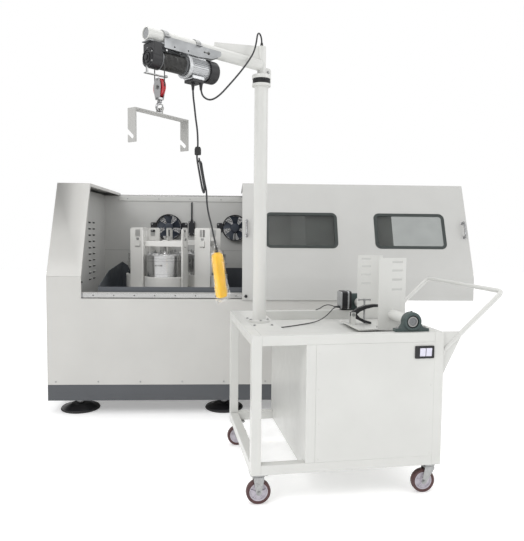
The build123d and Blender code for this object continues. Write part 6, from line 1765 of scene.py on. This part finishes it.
@dataclass
class Pendant(Assembly):
    """Two-button pendant with a ribbed body, hung on its cord in a clear film bag."""

    body = "jib"
    nodes = ("pendant",)
    top: Point = (0.312, 0.0, 1.262)
    tilt: float = math.radians(8.55)
    length: float = 0.2488
    width: float = 0.056
    depth: float = 0.046
    bag_flat: Pair = (0.24, 0.32)
    bag_folds: tuple[Point, ...] = ((0.018, 7, 46), (0.012, 3, -90))
    bag_squareness: float = 3.4
    bag_levels: tuple[tuple[float, float, float, float], ...] = (
        (0.046, 0.004, 0.015, 0.011), (0.032, 0.002, 0.011, 0.009), (0.024, 0.0, 0.0078, 0.0078),
        (0.012, 0.0, 0.0105, 0.01), (0.0, 0.0, 0.019, 0.018), (-0.012, 0.0, 0.0295, 0.025),
        (-0.06, -0.001, 0.0305, 0.0258), (-0.13, -0.003, 0.033, 0.0262), (-0.2, -0.006, 0.037, 0.0262),
        (-0.246, -0.01, 0.042, 0.025), (-0.258, -0.011, 0.044, 0.016), (-0.266, -0.012, 0.045, 0.006),
        (-0.272, -0.012, 0.0455, 0.0012))

    def build(self) -> None:
        """Make the body, its grips and buttons, and the bag."""
        self.frame = JIB @ Matrix.Translation(self.top) @ Matrix.Rotation(self.tilt, 4, "Y")
        x, y, z = self.width / 2 - 0.002, self.depth / 2 - 0.002, -self.length
        body = Bench.box((-x, -y, z + 0.002), (x, y, -0.012), 0.011, 5)
        shoulder = Bench.turned(((0, -0.016), (0.019, -0.016), (0.018, -0.008), (0.012, -0.004), (0, -0.004)))
        rib = Bench.box((-x - 0.0012, -y - 0.0012, -0.0405), (x + 0.0012, y + 0.0012, -0.037), 0.0012, 2)
        ribs = Bench.repeat(rib, [(0, 0, -0.0125 * i) for i in (1, 2, 3, 4, 5, 12, 13, 14, 15)])
        self.fit("pendant_case", Finish.AMBER, body, shoulder, *ribs)
        button = Bench.turned((
            (0, -0.001), (0.014, -0.001), (0.014, 0.001), (0.0115, 0.002), (0.011, 0.004), (0.0095, 0.0046),
            (0, 0.0048)), (0.0, -y, -0.112), FRONT, 40)
        self.fit("pendant_buttons", Finish.DARK, *Bench.repeat(button, [(0, 0, -0.036)]))
        relief = Bench.turned((
            (0, -0.006), (0.01, -0.006), (0.0095, 0.0), (0.0075, 0.01), (0.006, 0.021), (0.0054, 0.022),
            (0, 0.022)), sides=28)
        self.fit("pendant_relief", Finish.RUBBER, relief)
        self.build_bag()

    def build_bag(self) -> None:
        """Clear bag over the pendant: gathered round the cord, wider at its sealed foot."""
        levels = len(self.bag_levels)
        Bench.clear()
        bpy.ops.mesh.primitive_grid_add(x_subdivisions=48, y_subdivisions=levels * 4 - 4, size=1.0)
        bag = bpy.context.object
        for vertex in bag.data.vertices:
            angle = math.tau * (vertex.co.x + 0.5)
            place = min((vertex.co.y + 0.5) * (levels - 1), levels - 1.0001)
            step, share = int(place), place % 1.0
            share = share * share * (3 - 2 * share)
            upper, lower = self.bag_levels[step:step + 2]
            height, middle, half_x, half_y = (a + (b - a) * share for a, b in zip(upper, lower))
            fold = 1.0
            for depth, turns, climb in self.bag_folds:
                fold += depth * (1.0 + math.sin(turns * angle + climb * height))
            cosine, sine = math.cos(angle), math.sin(angle)
            power = self.bag_squareness
            square = (abs(cosine) ** power + abs(sine) ** power) ** (-1 / power)
            vertex.co = (middle + half_x * square * fold * cosine, half_y * square * fold * sine, height)
        Bench.tidy(bag)
        Bench.modify(bag, "SOLIDIFY", thickness=0.0003, offset=1.0)
        film = self.fit("pendant_bag", Finish.FILM, bag, nodes=())


@dataclass
class Cradle(Assembly):
    """Tilting cradle with the bow and screw that hold a jar in it."""

    frame = TROLLEY
    body = "cradle"
    middle_y: float = 0.48
    axle: Pair = (0.842, 0.912)
    screw_x: float = 0.745
    handle_z: float = 0.974
    handle_half: float = 0.0375
    knob_half: float = 0.0345

    def build(self) -> None:
        """Make the cradle, the bow and the screw."""
        self.fit("cradle_sheet", Finish.TROLLEY, Bench.recast("pour_cradle", 0.001), frame=ROW,
                 nodes=("pour_cradle",))
        y, z = self.middle_y, self.handle_z
        nuts = [Bench.bolt((0.672, y + side * 0.0222, 0.889), (0, side, 0), 0.007) for side in (-1, 1)]
        plates = [Bench.bolt((self.axle[0] + x, y + side * 0.17, 0.83), UP, 0.0055)
                  for x in (-0.06, 0.06) for side in (-0.7, 0.7)]
        self.fit("cradle_bolts", Finish.ZINC, *nuts, *plates)
        face = Bench.turned((
            (0, 0), (0.003, 0), (0.004, 0.0014), (0.018, 0.0014), (0.0196, 0.0004), (0.0196, -0.001),
            (0, -0.001)), (self.axle[0], 0.0258, self.axle[1]), FRONT, 40)
        self.fit("stub_shaft_face", Finish.CAST, face)
        self.fit("bow_forging", Finish.BLACK, Bench.recast("clamp_bow", 0.0022, 3), body="bow", frame=ROW,
                 nodes=("clamp_bow",))
        ridges = thread(0.838, 42, 0.0051, 0.0059)
        spindle = Bench.turned((
            (0, 0.8342), (0.0059, 0.8342), *ridges, (0.0055, 0.964), (0.0055, 0.9665), (0.0085, 0.9675),
            (0.009, 0.97), (0.009, 0.978), (0.008, 0.9795), (0, 0.9795)), (self.screw_x, y, 0), sides=24)
        ends = [(self.screw_x + side * self.handle_half, y, z) for side in (-1, 1)]
        bar = Bench.rod(*ends, 0.004, 24, 0.0008)
        knob = ((0, -0.004), (0.005, -0.004), (0.0062, -0.002), (0.0062, 0.002), (0.005, 0.004), (0, 0.004))
        knobs = [Bench.turned(knob, (self.screw_x + side * self.knob_half, y, z), OUT, 24)
                 for side in (-1, 1)]
        self.fit("screw_spindle", Finish.ZINC, spindle, bar, *knobs, body="screw", nodes=("clamp_screw",))


@dataclass
class TiltDrive(Assembly):
    """Pillow block and gear motor that carry and turn the cradle."""

    frame = TROLLEY
    body = "trolley"
    nodes = ("tilt_drive",)
    axis: Pair = (0.842, 0.912)

    def build(self) -> None:
        """Make the bearing at the front and the gear motor at the back."""
        x, z = self.axis
        front = 0.02
        foot = [(x + a, z + b) for a, b in (
            (-0.092, -0.052), (0.092, -0.052), (0.092, -0.036), (0.062, -0.034), (0.049, -0.012),
            (0.047, 0.012), (-0.047, 0.012), (-0.049, -0.012), (-0.062, -0.034), (-0.092, -0.036))]
        bridge = Bench.plate(foot, Axis.Y, front + 0.008, front + 0.044, 0.0)
        bridge = Bench.cut(bridge, Bench.rod((x, 0, z), (x, 0.1, z), 0.044, 48))
        shell = Bench.turned((
            (0.033, 0.001), (0.044, 0.001), (0.0475, 0.004), (0.049, 0.009), (0.049, 0.043), (0.0475, 0.048),
            (0.044, 0.0515), (0.033, 0.0515)), (x, front, z), BACK, 64, True)
        nose = Bench.turned((
            (0, 0), (0.006, 0), (0.0052, 0.005), (0, 0.0052)), (x, front + 0.026, z + 0.048), UP, 20)
        self.fit("pillow_housing", Finish.GREEN_CAST, Bench.round_edges(bridge, 0.0022, 3), shell, nose)
        low, high = 0.004, 0.048
        ring = Bench.turned((
            (0.0206, low), (0.0265, low), (0.0272, low + 0.0012), (0.0272, high - 0.0012), (0.0265, high),
            (0.0206, high)), (x, front, z), BACK, 56, True)
        self.fit("bearing_ring", Finish.STEEL, ring)
        seal = Bench.turned((
            (0.0274, 0.007), (0.0328, 0.007), (0.0328, 0.045), (0.0274, 0.045)), (x, front, z), BACK, 56,
            True)
        self.fit("bearing_seal", Finish.DARK, seal)
        heads = [Bench.bolt((x + side * 0.074, 0.046, z - 0.0358), UP, 0.0085) for side in (-1, 1)]
        self.fit("pillow_bolts", Finish.ZINC, *heads)
        self.build_motor()

    def build_motor(self) -> None:
        """Gearbox with a bolted lid, and the square motor beside it."""
        x, z = self.axis
        case = Bench.box((0.7862, 0.8582, 0.86), (0.9, 0.905, 0.968), 0.006, 3)
        case = Bench.cut(case, Bench.rod((x, 0.8, z), (x, 0.8895, z), 0.0206, 40))
        lid = Bench.box((0.795, 0.904, 0.872), (0.89, 0.9085, 0.959), 0.003, 2)
        flange = Bench.box((0.77, 0.86, 0.86), (0.916, 0.904, 0.868), 0.002, 2)
        self.fit("gear_case", Finish.GREEN_CAST, case, lid, flange)
        head = Bench.bolt((0.802, 0.9085, 0.879), BACK, 0.0045)
        moves = [(0.081, 0, 0), (0, 0, 0.073), (0.081, 0, 0.073)]
        self.fit("gear_case_bolts", Finish.ZINC, *Bench.repeat(head, moves))
        middle = (0.88, 0.927)
        shell = rounded(0.104, 0.116, 0.016, 5, middle)
        cover = rounded(0.098, 0.11, 0.014, 5, middle)
        motor = Bench.plate(shell, Axis.X, 0.725, 0.7862, 0.0022, 3)
        ribs = [Bench.box(
            (0.73 + 0.0075 * i, 0.829, 0.88), (0.733 + 0.0075 * i, 0.83, 0.975), 0.0003, 1) for i in range(7)]
        saddle = Bench.box((0.73, 0.8602, 0.86), (0.78, 0.9028, 0.908), 0.002, 2)
        gland = ((0, 0.0005), (0.0082, 0), (0.0082, 0.005), (0.0062, 0.0065), (0.0056, 0.012),
                 (0.004, 0.0215), (0.0034, 0.022), (0, 0.022))
        glands = [Bench.turned(gland, (0.7182, y, 0.88), (-1, 0, 0), 24) for y in (0.866, 0.89)]
        self.fit("tilt_motor", Finish.BLACK, motor, saddle, *ribs, *glands)
        plate = Bench.plate(cover, Axis.X, 0.718, 0.7252, 0.0018, 2)
        girth = [(a * 1.012 - 0.0106, b * 1.012 - 0.0111) for a, b in shell]
        band = Bench.plate(girth, Axis.X, 0.76, 0.77, 0.0006, 1)
        self.fit("motor_cover", Finish.ALUMINIUM, plate, band)


def dress_cad() -> None:
    """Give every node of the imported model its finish."""
    for name, node in FRAME["nodes"].items():
        finish = CAD_FINISH.get(name.rstrip("1234_"))
        if finish:
            node.data.materials.clear()
            node.data.materials.append(finish.material())


ASSEMBLIES: tuple[type[Assembly], ...] = (Cabinet, Feet, GuideRails, Hood, Stations, Fans, Trolley, Casters,
                                          Column, Jib, Hoist, HookBlock, Bail, Pendant, Cradle, TiltDrive,
                                          Cords)


def main() -> None:
    """Build the studio and every sub-assembly."""
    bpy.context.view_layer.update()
    Studio().build()
    dress_cad()
    for assembly in ASSEMBLIES:
        LOG.info("building %s", assembly.__name__)
        assembly().build()
    bpy.context.view_layer.update()


if __name__ == "__main__":
    logging.basicConfig(level=logging.INFO, format="%(message)s")
    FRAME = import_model()
    main()
